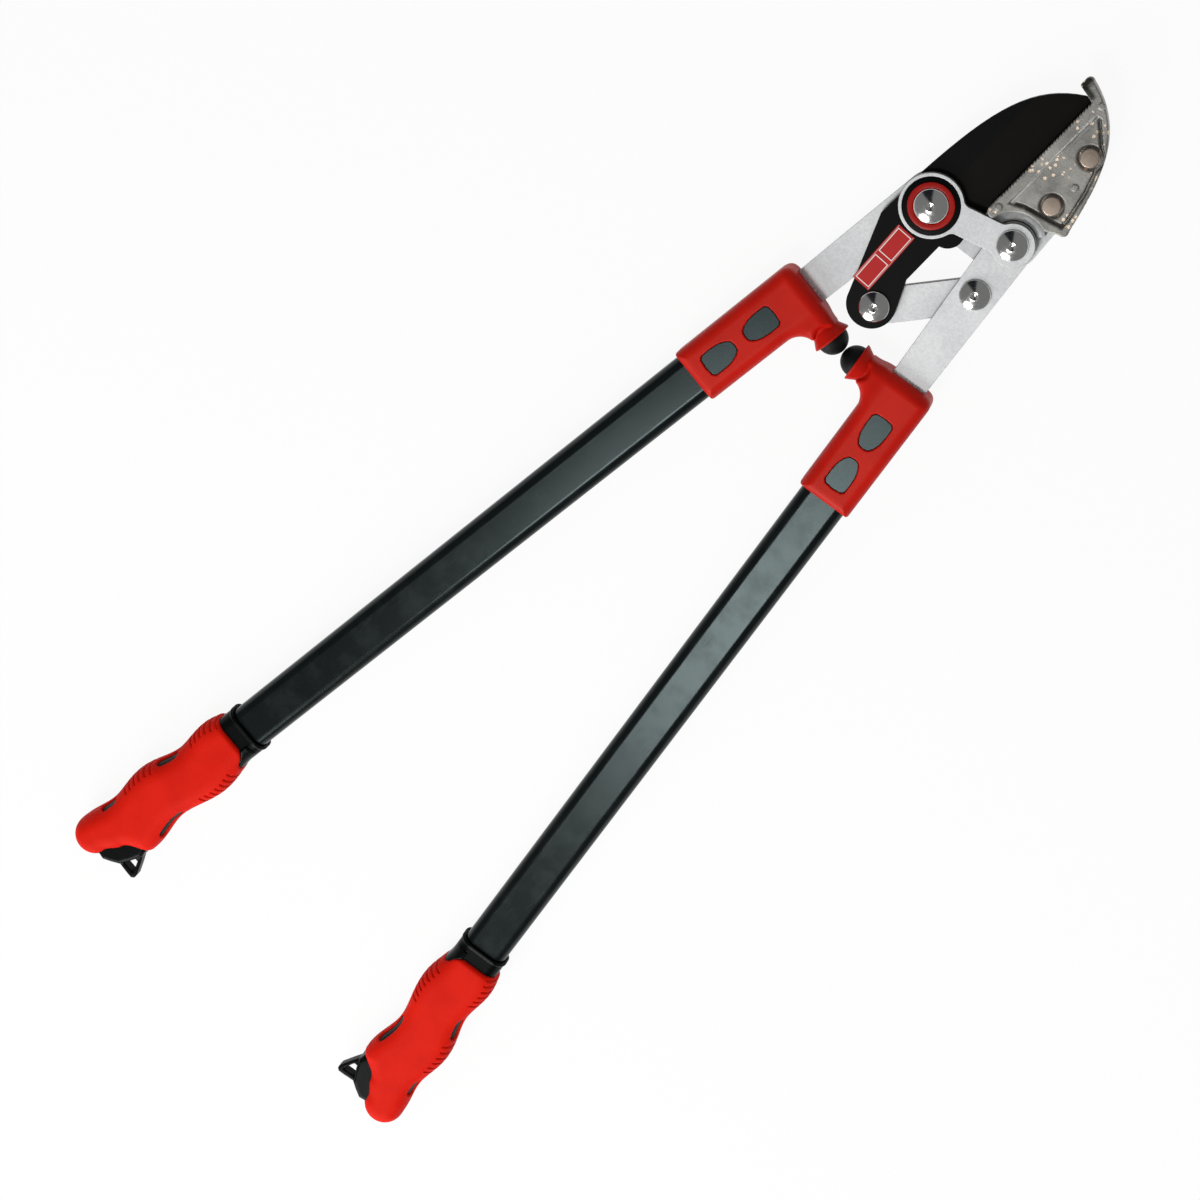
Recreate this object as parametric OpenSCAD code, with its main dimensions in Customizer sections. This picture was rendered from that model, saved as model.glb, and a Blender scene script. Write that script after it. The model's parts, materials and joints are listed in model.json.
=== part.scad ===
// Two-handed compound anvil lopper, closed and lying flat: +Z up, the head towards +Y.
// Plan outlines are drawn from the main pivot; place() moves the whole tool to its own origin,
// the middle of its box on the surface that it lies on.

/* [Handles] */
// Angle of each handle to the centre line when closed
handle_angle = 7.8; // [6:0.2:10]
// Distance between the two handle axes at the sockets' front faces
handle_spread = 81.6; // [76:0.2:92]
// Distance of the sockets' front faces behind the main pivot
socket_setback = 83.2; // [78:0.2:95]
// Distance of the centre line from the main pivot
centre_offset = 22.05; // [20:0.05:25]
// Gap between the two bumpers when closed
bumper_gap = 0.3; // [0.2:0.05:1]

/* [Linkage] */
// Distance of the lever pivot in front of the right socket
lever_reach = 99.7; // [94:0.1:105]
// Distance from the lever pivot to the link's pin on the right bar
crank_reach = 35.8; // [32:0.2:40]
// Distance from the main pivot to the pin in the blade's tail
tail_reach = 67.4; // [63:0.2:72]
// Lean of the blade's tail towards the right handle
tail_lean = 14.3; // [12:0.1:17]
// Extra radius of the link's hole round the tail pin
link_play = 1.7; // [1.6:0.1:2.4]

/* [Bars and plates] */
// Width of the flat bars where they leave the sockets
bar_w = 22.5; // [20:0.5:25]
// Thickness of the flat bars and the link
bar_t = 5; // [4.5:0.1:6]
// Width of the right bar's round end
lever_end_w = 26; // [24:0.5:27]
// Width of the cross link
link_w = 20.8; // [19:0.2:23]
// Distance of each bar's middle line from its handle's axis, towards the other handle
bar_offset = 1.2; // [0:0.1:2]
// Length of each bar's tang inside its tube
tang_len = 76; // [72:1:82]
// Thickness of the front side plate
side_plate_t = 4; // [3:0.1:5]
// Radius of the side plate and bar round the main pivot
hub_r = 18.7; // [18:0.1:20]
// Radius of the side plate's end at the lever pivot
plate_end_r = 12.6; // [11:0.1:13.5]
// Width of the side plate's neck
plate_neck_w = 17.2; // [14:0.2:19]
// Fillet radius between neck and hub
plate_fillet_r = 5; // [3:0.5:8]

/* [Blade and anvil] */
// Reach of the blade's tip from the main pivot
jaw_reach = 103.3; // [98:0.1:110]
// Distance of the cutting edge from the main pivot
edge_offset = 24.8; // [23:0.1:27]
// Thickness of the blade
blade_t = 4; // [3:0.1:4.2]
// Width of the ground bevel, on both faces
bevel_w = 25; // [18:0.5:27]
// Thickness of the cutting edge
edge_t = 0.4; // [0.2:0.1:0.6]
// Radius of the blade's hub
blade_hub_r = 17.6; // [15:0.1:18]
// Radius of the tail's round end
tail_end_r = 14.5; // [12.5:0.1:15]
// Thickness of the anvil
anvil_t = 9.5; // [8.5:0.1:11]
// Gap between cutting edge and groove floor
edge_gap = 0.3; // [0.2:0.05:0.6]
// Height of the anvil's lips beside the groove
lip_h = 1.5; // [1:0.1:2]
// Width of the groove that takes the edge
groove_w = 2; // [1.6:0.1:2.4]
// Pitch of the lip's teeth
tooth_pitch = 2.6; // [2:0.1:4]
// Depth of the lip's teeth
tooth_depth = 1.2; // [0.8:0.1:1.4]
// Depth of the anvil's pocket
pocket_depth = 1.2; // [0.6:0.1:2]
// Length of the panel on the blade's tail
label_l = 40; // [30:1:42]
// Width of the panel on the blade's tail
label_w = 12.1; // [8:0.1:13]

/* [Pivots] */
// Diameter of the main pivot bolt
bolt_d = 10; // [8:0.5:11]
// Diameter of the main bolt's domed head
bolt_head_d = 20; // [18:0.2:21]
// Height of the main bolt's domed head
bolt_head_h = 5; // [3:0.1:6]
// Width of the lock nut across its corners
nut_w = 19.6; // [17:0.2:22]
// Radius of the side plate's large bore
bush_r = 16.6; // [15.5:0.1:17]
// Outer radius of the red trim ring
trim_r = 13.5; // [12:0.1:14.5]
// Height of the red trim ring
trim_h = 1.4; // [0.8:0.1:2]
// Diameter of the pivot rivets
rivet_d = 8; // [7:0.2:9]
// Diameter of the pivot rivets' domed heads
dome_d = 18.2; // [16.6:0.2:20]
// Height of the pivot rivets' domed heads
dome_h = 4.2; // [3:0.1:5]
// Diameter of the dimple in each dome
dimple_d = 5; // [3:0.1:6]
// Radial clearance of pins in their holes
run_clear = 0.05; // [0.02:0.01:0.1]
// Diameter of the anvil's rivets
anvil_rivet_d = 6; // [5:0.2:7]
// Diameter of the anvil rivets' heads
anvil_rivet_head_d = 12.8; // [11:0.2:14]

/* [Tubes and sockets] */
// Width of the handle tube
tube_w = 30; // [29:0.5:31]
// Depth of the handle tube
tube_d = 18; // [16:0.5:19]
// Corner radius of the handle tube
tube_r = 6.6; // [4:0.2:7.5]
// Wall of the handle tube
tube_wall = 1.5; // [1:0.1:1.8]
// Length of tube between socket and grip
tube_len = 390; // [345:1:430]
// Length of the socket
socket_len = 88; // [86:0.5:94]
// Width of the socket
socket_w = 35; // [34:0.5:37]
// Depth of the socket
socket_d = 27; // [26:0.5:29]
// Corner radius of the socket
socket_r = 8; // [6:0.2:9]
// Length of the socket's solid nose in front of the tube
nose_len = 20; // [19:0.5:22]
// Radius of the bumper's arm on the socket
arm_r = 8.6; // [8:0.1:9]
// Radius of the cup's rim round the bumper
cup_r = 11.8; // [11:0.1:12.5]
// Radius of the bumper's ball
bumper_r = 9.4; // [8.5:0.1:10]
// Length of each inlay pad
pad_l = 22.8; // [19:0.2:24]
// Width of each inlay pad
pad_w = 14.2; // [12:0.2:16]
// Thickness of each inlay pad
pad_t = 1.5; // [1:0.1:1.8]
// Diameter of the tang rivets
tang_rivet_d = 5; // [4:0.2:6]

/* [Grips] */
// Length of the grip from its collar's front to its round end
grip_len = 158; // [150:0.5:168]
// Half width of the grip's widest wave
grip_half_w = 24; // [23.5:0.1:26]
// Depth of the grip
grip_d = 27; // [25.5:0.5:29]
// Radius of the grip's round end, in plan
grip_end_r = 14; // [13:0.1:15]
// Length of the collar in front of the cover
collar_len = 6.5; // [5:0.5:9]
// Width of the collar
collar_w = 34.6; // [33.8:0.2:36]
// Depth of the collar
collar_d = 23; // [22.2:0.2:25]
// Wall of the inner grip's sleeve round the tube
sleeve_wall = 1.4; // [1:0.1:1.5]
// Thickness of the hang tab
tab_t = 8; // [6:0.5:10]
// Width of the hang eye
eye_w = 10; // [9:0.2:11]

/* [Hidden] */
$fn = 64;

// One overrun for every cut
over = 1;
// Clearance of pieces that are pressed or moulded together
fit_clear = 0.1;
// Share of a circle's radius where straight edges run into it
touch_share = 0.997;

// Pivot places in plan, from the main pivot
front_x = handle_spread / 2;
left_front = [centre_offset - front_x, -socket_setback];
right_front = [centre_offset + front_x, -socket_setback];
left_ahead = [sin(handle_angle), cos(handle_angle)];
right_ahead = [-sin(handle_angle), cos(handle_angle)];
left_inward = [cos(handle_angle), -sin(handle_angle)];
right_inward = -[cos(handle_angle), sin(handle_angle)];
lever_pivot = right_front + lever_reach * right_ahead + bar_offset * right_inward;
link_pin = lever_pivot - crank_reach * right_ahead;
tail_pin = tail_reach * [sin(tail_lean), -cos(tail_lean)];

// Heights, from the plane between the two layers of bars
washer_t = (bar_t - blade_t) / 2;
plate_z = bar_t;
plate_top = plate_z + side_plate_t;
bush_recess = 0.4;
bush_top = plate_top - bush_recess;
rest_depth = max(socket_d, grip_d) / 2;
nut_h = rest_depth - bar_t;
back_head_d = 16.4;
back_head_h = 3;

// Anvil
groove_floor = edge_offset + edge_gap;
lip_x = groove_floor - lip_h;
blade_mid = bar_t / 2;
horn_gap = 0.9;
horn_tip_r = 2.8;
anvil_nose_r = 3.8;
anvil_corner_r = 3.2;
anvil_clear = 6.2;
// Shares of the jaw: across in its reach, ahead from the lever pivot to the blade's tip
horn_tip_share = [0.151, 1.0505];
horn_root_share = 0.1;
anvil_nose_share = 0.075;
anvil_corner_share = [0.605, 0.2865];
anvil_back_shares = [[0.632, 0.2971], [0.561, 0.6439], [0.494, 0.9847]];
pocket_shares = [
    [0.288, 0.1725], [0.302, 0.9436], [0.328, 0.9412], [0.450, 0.8155], [0.517, 0.6662],
    [0.551, 0.5498], [0.589, 0.3465], [0.588, 0.2924], [0.467, 0.2536], [0.361, 0.2195]
];
pocket_bulge_r = 8.2;
rivet_shares = [[0.430, 0.7261], [0.466, 0.3488]];
nub_shares = [[0.485, 0.5310], [0.283, 1.0047]];
nub_r = 2;
nub_h = 0.4;
tooth_span_shares = [0.1713, 0.9706];
anvil_rivet_top_share = 0.68;
anvil_rivet_h = 1.6;
tang_shares = [
    [0.590, 0.2125], [0.560, 0.4828], [0.490, 0.7179], [0.400, 0.8590],
    [0.300, 0.8590], [0.285, 0.1772]
];

horn_tip = jaw_point(horn_tip_share);
anvil_nose = [lip_x + anvil_nose_r, jaw_point([0, anvil_nose_share]).y];
tooth_from = jaw_point([0, tooth_span_shares[0]]).y;
tooth_to = jaw_point([0, tooth_span_shares[1]]).y;

// Blade
bevel_gap = 1;
bevel_start = trim_r + bevel_gap;
heel_share = 0.157;
blade_root_share = [-0.165, 0.085];
blade_bow_shares = [[-0.122, 0.606], [-0.052, 0.828]];
blade_nose_share = [0.187, 0.978];
tail_bend_shares = [[-0.252, -0.095], [-0.263, -0.344], [0.285, -0.619], [0.297, -0.640]];
heel_bump_share = [0.939, -0.270];
heel_bump_r = 10;
tail_end_inset = 2.4;
label_t = 0.2;
label_turn = 2.4;
label_share = [0.0138, -0.6069];

// Distance of the link's middle line behind its two pins
link_drop = 1;

// Left bar between the two pivots, as shares of their distance along and across
web_shares = [[0.20, -0.34], [0.463, -0.324], [0.683, -0.370], [0.93, -0.34]];
pivot_span = norm(lever_pivot);
pivot_ahead = lever_pivot / pivot_span;
left_pivot_r = 14.2;

// Sockets, in each handle's own frame: +X to the other handle, +Y to the head
arm_setback = 0.9;
arm_y = -(arm_r + arm_setback);
nose_corner_r = 6;
nose_side_r = 9;
arm_fillet_r = 8;
cup_flare = 6;
cup_rim_h = 2;
bumper_x = (front_x - bumper_r - bumper_gap / 2 - arm_y * sin(handle_angle)) / cos(handle_angle);
cup_face = bumper_x + fit_clear;
cup_depth = 3.5;
cup_floor = cup_face - cup_depth;
bumper_stem_r = 4;
bumper_stem_l = 6;
pad_recess = 0.5;
pad_places = [-34.6, -65];
pad_shares = [
    [-0.50, 0.16], [-0.40, 0.32], [-0.20, 0.47], [0.02, 0.50], [0.28, 0.47], [0.43, 0.36], [0.50, 0.15],
    [0.50, -0.15], [0.43, -0.36], [0.28, -0.47], [0.02, -0.50], [-0.20, -0.47], [-0.40, -0.32], [-0.50, -0.16]
];
rivet_access_r = 5;
tang_head_r = 4.2;
tang_head_h = 1.6;

// Grips, measured back from the collar's front
grip_front = -(socket_len + tube_len);
tube_in_grip = 104;
sleeve_len = 119;
collar_lip = 0.7;
collar_lip_len = 2.6;
collar_r = 9;
end_reach = 22.6;
end_x = grip_end_r - end_reach;
end_y = grip_len - grip_end_r;
outer_shares = [
    [0.025, 0.750], [0.158, 0.883], [0.322, 0.763], [0.538, 1.000], [0.734, 0.825],
    [0.899, 0.936], [0.912, 0.942]
];
inner_shares = [
    [0.025, 0.710], [0.065, 0.715], [0.278, 0.942], [0.513, 0.746], [0.734, 1.000],
    [0.829, 0.450], [0.912, 0.225]
];
grip_rings = 30;
grip_sides = 28;
end_rings = 6;
grip_square = 2.7;
window_h = 7;
window_lift = 6;
outer_windows = [[0.317, 0.431], [0.716, 0.756]];
inner_windows = [[0.497, 0.632]];
tongue_len = 7;
tongue_share = 0.475;
tab_shares = [
    [0.674, 0.300], [0.785, 0.900], [0.834, 1.090], [0.888, 1.280], [0.906, 1.300], [0.918, 1.235],
    [0.918, 1.042], [0.915, 0.742], [0.915, 0.538], [0.953, 0.304], [0.937, -0.400], [0.674, -0.400]
];
eye_share = [0.866, 0.938];
eye_l = 9;
plug_d = 16;

// Whole part: lowest and highest Y, for the origin
grip_end_y = -socket_setback - end_x * sin(handle_angle)
    + (grip_front - end_y) * cos(handle_angle) - grip_end_r;
horn_top_y = horn_tip.y + horn_tip_r;

// Point on a curve through four guide points
function bezier(a, b, c, d, t) =
    a * pow(1 - t, 3) + 3 * b * t * pow(1 - t, 2) + 3 * c * t * t * (1 - t) + d * pow(t, 3);

// Where a line from p just cuts into a circle, on the side that turns left (1) or right (-1)
function tangent(p, c, r, side) =
    let (d = c - p, q = r * touch_share, run = sqrt(d * d - q * q))
    let (turn = atan2(d.y, d.x) + side * asin(q / norm(d)))
    p + run * [cos(turn), sin(turn)];

// Point at shares along and across the line of the two pivots
function web_point(share) =
    pivot_span * (share.x * pivot_ahead + share.y * [-pivot_ahead.y, pivot_ahead.x]);

// Point of the jaw from its shares
function jaw_point(share) = [share.x * jaw_reach, lever_pivot.y + share.y * (jaw_reach - lever_pivot.y)];

// Smooth wave through pairs of place and value
function wave(pairs, s, i = 0) =
    i >= len(pairs) - 2 || s < pairs[i + 1].x
        ? let (t = min(1, max(0, (s - pairs[i].x) / (pairs[i + 1].x - pairs[i].x))))
          pairs[i].y + (pairs[i + 1].y - pairs[i].y) * (1 - cos(180 * t)) / 2
        : wave(pairs, s, i + 1);

// Power that keeps its sign, for rounded sections
function signed_pow(v, p) = sign(v) * pow(abs(v), p);

module place() {
    translate([-centre_offset, -(grip_end_y + horn_top_y) / 2, rest_depth]) children();
}

module left_handle() {
    translate([left_front.x, left_front.y, 0]) rotate([0, 0, -handle_angle]) children();
}

module right_handle() {
    translate([2 * centre_offset, 0, 0]) mirror([1, 0, 0]) left_handle() children();
}

module rounded(w, h, r) {
    square([w - 2 * r, h], center = true);
    square([w, h - 2 * r], center = true);
    for (x = [-1, 1], y = [-1, 1]) translate([x * (w / 2 - r), y * (h / 2 - r)]) circle(r = r);
}

// Extrudes a section backwards along a handle
module along(front, length) {
    translate([0, front, 0]) rotate([90, 0, 0]) linear_extrude(length) children();
}

module layer(z, t) {
    translate([0, 0, z]) linear_extrude(t) children();
}

// Domed head with a dimple, standing on z = 0
module dome(d, h) {
    cap = (d * d / 4 + h * h) / (2 * h);
    rotate_extrude() difference() {
        intersection() {
            translate([0, h - cap]) circle(r = cap);
            square([d / 2, h]);
        }
        translate([0, h + dimple_d / 4]) circle(r = dimple_d / 2);
    }
}

// Flat rivet head, standing on z = 0
module low_head(r, h) {
    rotate_extrude() intersection() {
        translate([0, h / 2]) rounded(2 * r, h, h / 3);
        square([r, h]);
    }
}

// Pivot rivet from its back head to the dome in front
module pivot_rivet(front) {
    translate([0, 0, -bar_t]) cylinder(d = rivet_d, h = front + bar_t);
    translate([0, 0, front]) dome(dome_d, dome_h);
    translate([0, 0, -bar_t]) mirror([0, 0, 1]) low_head(back_head_d / 2, back_head_h);
}

module pin_hole(d) {
    circle(r = d / 2 + run_clear);
}

module tang_rivet_holes() {
    for (y = pad_places) translate([0, y]) circle(r = tang_rivet_d / 2 + fit_clear);
}

// Head pieces

module left_bar_plan() {
    bar_side = left_inward * bar_w / 2;
    bar_front = left_front + bar_offset * left_inward;
    tang_end = bar_front - tang_len * left_ahead;
    left_edge = bar_front - bar_side;
    difference() {
        union() {
            circle(r = hub_r);
            polygon([
                tang_end - bar_side, tang_end + bar_side,
                bar_front + bar_side + (socket_setback - bar_w / 2) * left_ahead,
                [0, 0], tangent(left_edge, [0, 0], hub_r, 1), left_edge
            ]);
            polygon(concat([[0, 0]], [for (s = web_shares) web_point(s)], [
                tangent(web_point(web_shares[3]), lever_pivot, left_pivot_r, -1), lever_pivot,
                [anvil_nose.x, anvil_nose.y]
            ]));
            translate(lever_pivot) circle(r = left_pivot_r);
            polygon(concat(
                [lever_pivot, lever_pivot + [left_pivot_r, 0]], [for (s = tang_shares) jaw_point(s)]
            ));
        }
        pin_hole(bolt_d);
        translate(lever_pivot) pin_hole(rivet_d);
        for (s = rivet_shares) translate(jaw_point(s)) pin_hole(anvil_rivet_d);
        translate(left_front) rotate(-handle_angle) tang_rivet_holes();
    }
}

module left_bar() {
    color("silver") place() layer(-bar_t, bar_t) left_bar_plan();
}

// Neck between two round ends on the X axis, with fillets at both
module necked(span, r1, r2, w, fillet) {
    h = w / 2 + fillet;
    x1 = sqrt(pow(r1 + fillet, 2) - h * h);
    x2 = sqrt(pow(r2 + fillet, 2) - h * h);
    a1 = atan2(h, x1);
    a2 = atan2(h, x2);
    arc1 = [for (i = [1:8]) let (a = a1 + (90 - a1) * i / 8) [x1, h] - fillet * [cos(a), sin(a)]];
    arc2 = [for (i = [8:-1:1]) let (a = a2 + (90 - a2) * i / 8) [-x2, h] + fillet * [cos(a), -sin(a)]];
    top = concat(
        [r1 * touch_share * [cos(a1), sin(a1)]], arc1, [for (p = arc2) p + [span, 0]],
        [r2 * touch_share * [-cos(a2), sin(a2)] + [span, 0]]
    );
    circle(r = r1);
    translate([span, 0]) circle(r = r2);
    polygon(concat([for (p = top) [p.x, -p.y]], [for (i = [len(top) - 1:-1:0]) top[i]]));
}

// Outline of the side plate, grown by a clearance
module plate_plan(clear) {
    rotate(atan2(lever_pivot.y, lever_pivot.x)) necked(
        pivot_span, hub_r + clear, plate_end_r + clear, plate_neck_w + 2 * clear, plate_fillet_r - clear
    );
}

module front_side_plate() {
    color("silver") place() layer(plate_z, side_plate_t) difference() {
        plate_plan(0);
        circle(r = bush_r);
        translate(lever_pivot) pin_hole(rivet_d);
    }
}

module anvil_whole_plan() {
    back = [for (s = anvil_back_shares) jaw_point(s)];
    horn_top = horn_tip + [0, horn_tip_r];
    corner = jaw_point(anvil_corner_share);
    translate(anvil_nose) circle(r = anvil_nose_r);
    translate(corner) circle(r = anvil_corner_r);
    translate(horn_tip) circle(r = horn_tip_r);
    polygon(concat(
        [anvil_nose + [0, -anvil_nose_r], corner + [0, -anvil_corner_r], corner],
        [for (i = [0:20]) bezier(back[0], back[1], back[2], horn_top, i / 20)],
        [horn_tip - [horn_tip_r, 0], horn_tip - [horn_tip_r, horn_root_share * jaw_reach]],
        [[lip_x, tooth_to], [lip_x, anvil_nose.y]]
    ));
}

// Teeth along the anvil's front lip
module tooth_gaps() {
    count = floor((tooth_to - tooth_from) / tooth_pitch);
    for (i = [0:count - 1]) {
        y = tooth_from + i * tooth_pitch;
        polygon([
            [lip_x - over, y], [lip_x + tooth_depth, y + tooth_pitch / 2], [lip_x - over, y + tooth_pitch]
        ]);
    }
}

module anvil_plan() {
    difference() {
        union() {
            intersection() {
                anvil_whole_plan();
                translate([lip_x, 0]) square([jaw_reach, horn_top_y]);
            }
            difference() {
                anvil_whole_plan();
                circle(r = jaw_reach + horn_gap);
            }
        }
        translate(lever_pivot) circle(r = plate_end_r + anvil_clear);
        plate_plan(fit_clear);
        for (s = rivet_shares) translate(jaw_point(s)) pin_hole(anvil_rivet_d);
    }
}

module anvil() {
    color("gray") place() difference() {
        union() {
            layer(0, anvil_t) anvil_plan();
            layer(anvil_t, nub_h) translate(anvil_nose + [0, anvil_nose_r]) circle(r = nub_r);
            layer(anvil_t - pocket_depth, nub_h) translate(jaw_point(nub_shares[0])) circle(r = nub_r);
            layer(anvil_t, nub_h) translate(jaw_point(nub_shares[1])) circle(r = nub_r);
        }
        layer(blade_mid + groove_w / 2, anvil_t) tooth_gaps();
        layer(blade_mid - groove_w / 2, groove_w) translate([lip_x - over, 0])
            square([groove_floor - lip_x + over, jaw_reach]);
        layer(anvil_t - pocket_depth, pocket_depth + over) difference() {
            union() {
                polygon([for (s = pocket_shares) jaw_point(s)]);
                translate(jaw_point(rivet_shares[0])) circle(r = pocket_bulge_r);
            }
            translate(jaw_point(nub_shares[0])) circle(r = nub_r);
        }
    }
}

module anvil_rivets() {
    floor_z = anvil_t - pocket_depth;
    head_r = anvil_rivet_head_d / 2;
    color("rosybrown") place() for (s = rivet_shares) translate(jaw_point(s)) {
        translate([0, 0, -bar_t]) cylinder(d = anvil_rivet_d, h = floor_z + bar_t);
        translate([0, 0, floor_z])
            cylinder(r1 = head_r, r2 = head_r * anvil_rivet_top_share, h = anvil_rivet_h);
        translate([0, 0, -bar_t]) mirror([0, 0, 1]) low_head(head_r, back_head_h);
    }
}

module main_pivot_bolt() {
    color("gainsboro") place() {
        translate([0, 0, -rest_depth + over]) cylinder(d = bolt_d, h = bush_top + rest_depth - over);
        translate([0, 0, bush_top]) dome(bolt_head_d, bolt_head_h);
    }
}

module main_pivot_nut() {
    color("darkgray") place() translate([0, 0, -rest_depth]) difference() {
        cylinder(d = nut_w, h = nut_h, $fn = 6);
        translate([0, 0, -over]) cylinder(r = bolt_d / 2 + run_clear, h = nut_h + 2 * over);
    }
}

module pivot_bush() {
    color("black") place() layer(plate_z, bush_top - plate_z) difference() {
        circle(r = bush_r - fit_clear);
        pin_hole(bolt_d);
    }
}

module pivot_trim_ring() {
    inner = bolt_head_d / 2 + fit_clear;
    color("firebrick") place() translate([0, 0, bush_top]) rotate_extrude()
        translate([(inner + trim_r) / 2, trim_h / 2]) rounded(trim_r - inner, trim_h, trim_h / 3);
}

module lever_pivot_rivet() {
    color("gainsboro") place() translate(lever_pivot) pivot_rivet(plate_top);
}

module washer(z, r, d) {
    layer(z, washer_t) difference() {
        circle(r = r);
        pin_hole(d);
    }
}

module blade_washers() {
    color("dimgray") place() {
        washer(0, trim_r, bolt_d);
        washer(bar_t - washer_t, trim_r, bolt_d);
    }
}

// Blade pieces

module blade_plan() {
    root = jaw_reach * blade_root_share;
    bow = jaw_reach * blade_bow_shares;
    nose = jaw_reach * blade_nose_share;
    tail_end = tail_pin - [tail_end_inset, 0];
    bend = tail_reach * tail_bend_shares;
    difference() {
        union() {
            circle(r = blade_hub_r);
            intersection() {
                polygon(concat(
                    [[0, 0], [edge_offset, heel_share * jaw_reach], [edge_offset, jaw_reach]],
                    [for (i = [0:16]) bezier(nose, bow[1], bow[0], root, i / 16)]
                ));
                circle(r = jaw_reach);
            }
            polygon([
                [0, 0], bend[0], bend[1], tangent(bend[1], tail_end, tail_end_r, -1), tail_end,
                tangent(bend[3], tail_end, tail_end_r, 1), bend[3], bend[2], [bend[2].x, 0]
            ]);
            translate(tail_end) circle(r = tail_end_r);
            translate(blade_hub_r * heel_bump_share) circle(r = heel_bump_r);
        }
        pin_hole(bolt_d);
        translate(tail_pin) pin_hole(rivet_d);
    }
}

// Wedge that grinds one face of the blade from the bevel line down to the edge
module bevel_cut() {
    drop = (blade_t - edge_t) / 2;
    run = bevel_w + over;
    translate([edge_offset - bevel_w, bevel_start + jaw_reach, 0])
        rotate([90, 0, 0]) linear_extrude(jaw_reach)
            polygon([[0, 0], [run, -drop * run / bevel_w], [run, drop], [0, drop]]);
}

module blade() {
    color([0.12, 0.12, 0.12]) place() difference() {
        layer(washer_t, blade_t) blade_plan();
        translate([0, 0, washer_t + blade_t]) bevel_cut();
        translate([0, 0, washer_t]) mirror([0, 0, 1]) bevel_cut();
    }
}

module blade_label() {
    color("crimson") place() layer(washer_t + blade_t, label_t)
        translate(tail_reach * label_share) rotate(label_turn) square([label_w, label_l], center = true);
}

module tail_rivet() {
    color("gainsboro") place() translate(tail_pin) pivot_rivet(washer_t + blade_t);
}

module tail_washer() {
    color("dimgray") place() translate(tail_pin) washer(0, dome_d / 2, rivet_d);
}

// Link and right bar

module cross_link() {
    run = link_pin - tail_pin;
    color("silver") place() layer(-bar_t, bar_t) translate(tail_pin) rotate(atan2(run.y, run.x))
        difference() {
            translate([0, -link_drop]) {
                circle(d = link_w);
                translate([norm(run), 0]) circle(d = link_w);
                translate([0, -link_w / 2]) square([norm(run), link_w]);
            }
            circle(r = rivet_d / 2 + link_play);
            translate([norm(run), 0]) pin_hole(rivet_d);
        }
}

module right_bar() {
    end_r = lever_end_w / 2;
    color("silver") place() right_handle() layer(0, bar_t) difference() {
        translate([bar_offset, 0]) difference() {
            union() {
                polygon([
                    [-bar_w / 2, -tang_len], [bar_w / 2, -tang_len], [bar_w / 2, 0], [end_r, lever_reach],
                    [-end_r, lever_reach], [-bar_w / 2, 0]
                ]);
                translate([0, lever_reach]) circle(r = end_r);
            }
            translate([0, lever_reach]) pin_hole(rivet_d);
            translate([0, lever_reach - crank_reach]) pin_hole(rivet_d);
        }
        tang_rivet_holes();
    }
}

module link_rivet() {
    color("gainsboro") place() translate(link_pin) pivot_rivet(bar_t);
}

// Handle pieces, in the handle's own frame

module pad_plan(clear) {
    for (i = [0, 1]) translate([0, pad_places[i]]) scale([1, i == 0 ? 1 : -1])
        polygon([for (s = pad_shares) [s.y * (pad_w + 2 * clear), s.x * (pad_l + 2 * clear)]]);
}

// Arm and cup that carry the bumper, along +X
module bumper_arm() {
    translate([0, arm_y, 0]) rotate([0, 90, 0]) rotate_extrude() polygon([
        [0, 0], [arm_r, 0], [arm_r, cup_face - cup_rim_h - cup_flare], [cup_r, cup_face - cup_rim_h],
        [cup_r, cup_face], [0, cup_face]
    ]);
    layer(-arm_r, 2 * arm_r) translate([socket_w / 2 - over, arm_y - arm_r - arm_fillet_r]) difference() {
        square(arm_fillet_r + over);
        translate([arm_fillet_r + over, 0]) circle(r = arm_fillet_r);
    }
}

// Stem and flat-backed base of the bumper, up to a distance along its arm
module bumper_seat(clear, end) {
    translate([0, arm_y, 0]) rotate([0, 90, 0]) {
        translate([0, 0, cup_floor - bumper_stem_l - clear])
            cylinder(r = bumper_stem_r + clear, h = bumper_stem_l + over);
        translate([0, 0, cup_floor - clear]) cylinder(r = bumper_r + clear, h = end - cup_floor + clear);
    }
}

// Outline with two round corners in front, as long as the socket
module nose_plan(w, r) {
    side = w / 2 - r;
    translate([-w / 2, -2 * socket_len]) square([w, 2 * socket_len - r]);
    translate([-side, -socket_len]) square([2 * side, socket_len]);
    for (x = [-side, side]) translate([x, -r]) circle(r = r);
}

module socket(bar_z) {
    difference() {
        union() {
            intersection() {
                along(0, socket_len) rounded(socket_w, socket_d, socket_r);
                layer(-socket_d, 2 * socket_d) nose_plan(socket_w, nose_corner_r);
                rotate([0, 90, 0]) layer(-socket_w, 2 * socket_w) nose_plan(socket_d, nose_side_r);
            }
            bumper_arm();
        }
        along(-nose_len, socket_len) rounded(tube_w + 2 * fit_clear, tube_d + 2 * fit_clear, tube_r);
        layer(bar_z - fit_clear, bar_t + 2 * fit_clear) translate([bar_offset, 0])
            square([bar_w + 2 * fit_clear, 2 * nose_len + over], center = true);
        for (z = [0, 1]) mirror([0, 0, z]) {
            layer(socket_d / 2 - pad_recess - pad_t, pad_recess + pad_t + over) pad_plan(fit_clear);
            for (y = pad_places) translate([0, y, 0])
                cylinder(r = rivet_access_r, h = socket_d / 2 - pad_recess);
        }
        bumper_seat(fit_clear, cup_face + over);
    }
}

module socket_pads() {
    for (z = [0, 1]) mirror([0, 0, z]) layer(socket_d / 2 - pad_recess - pad_t, pad_t) pad_plan(0);
}

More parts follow.
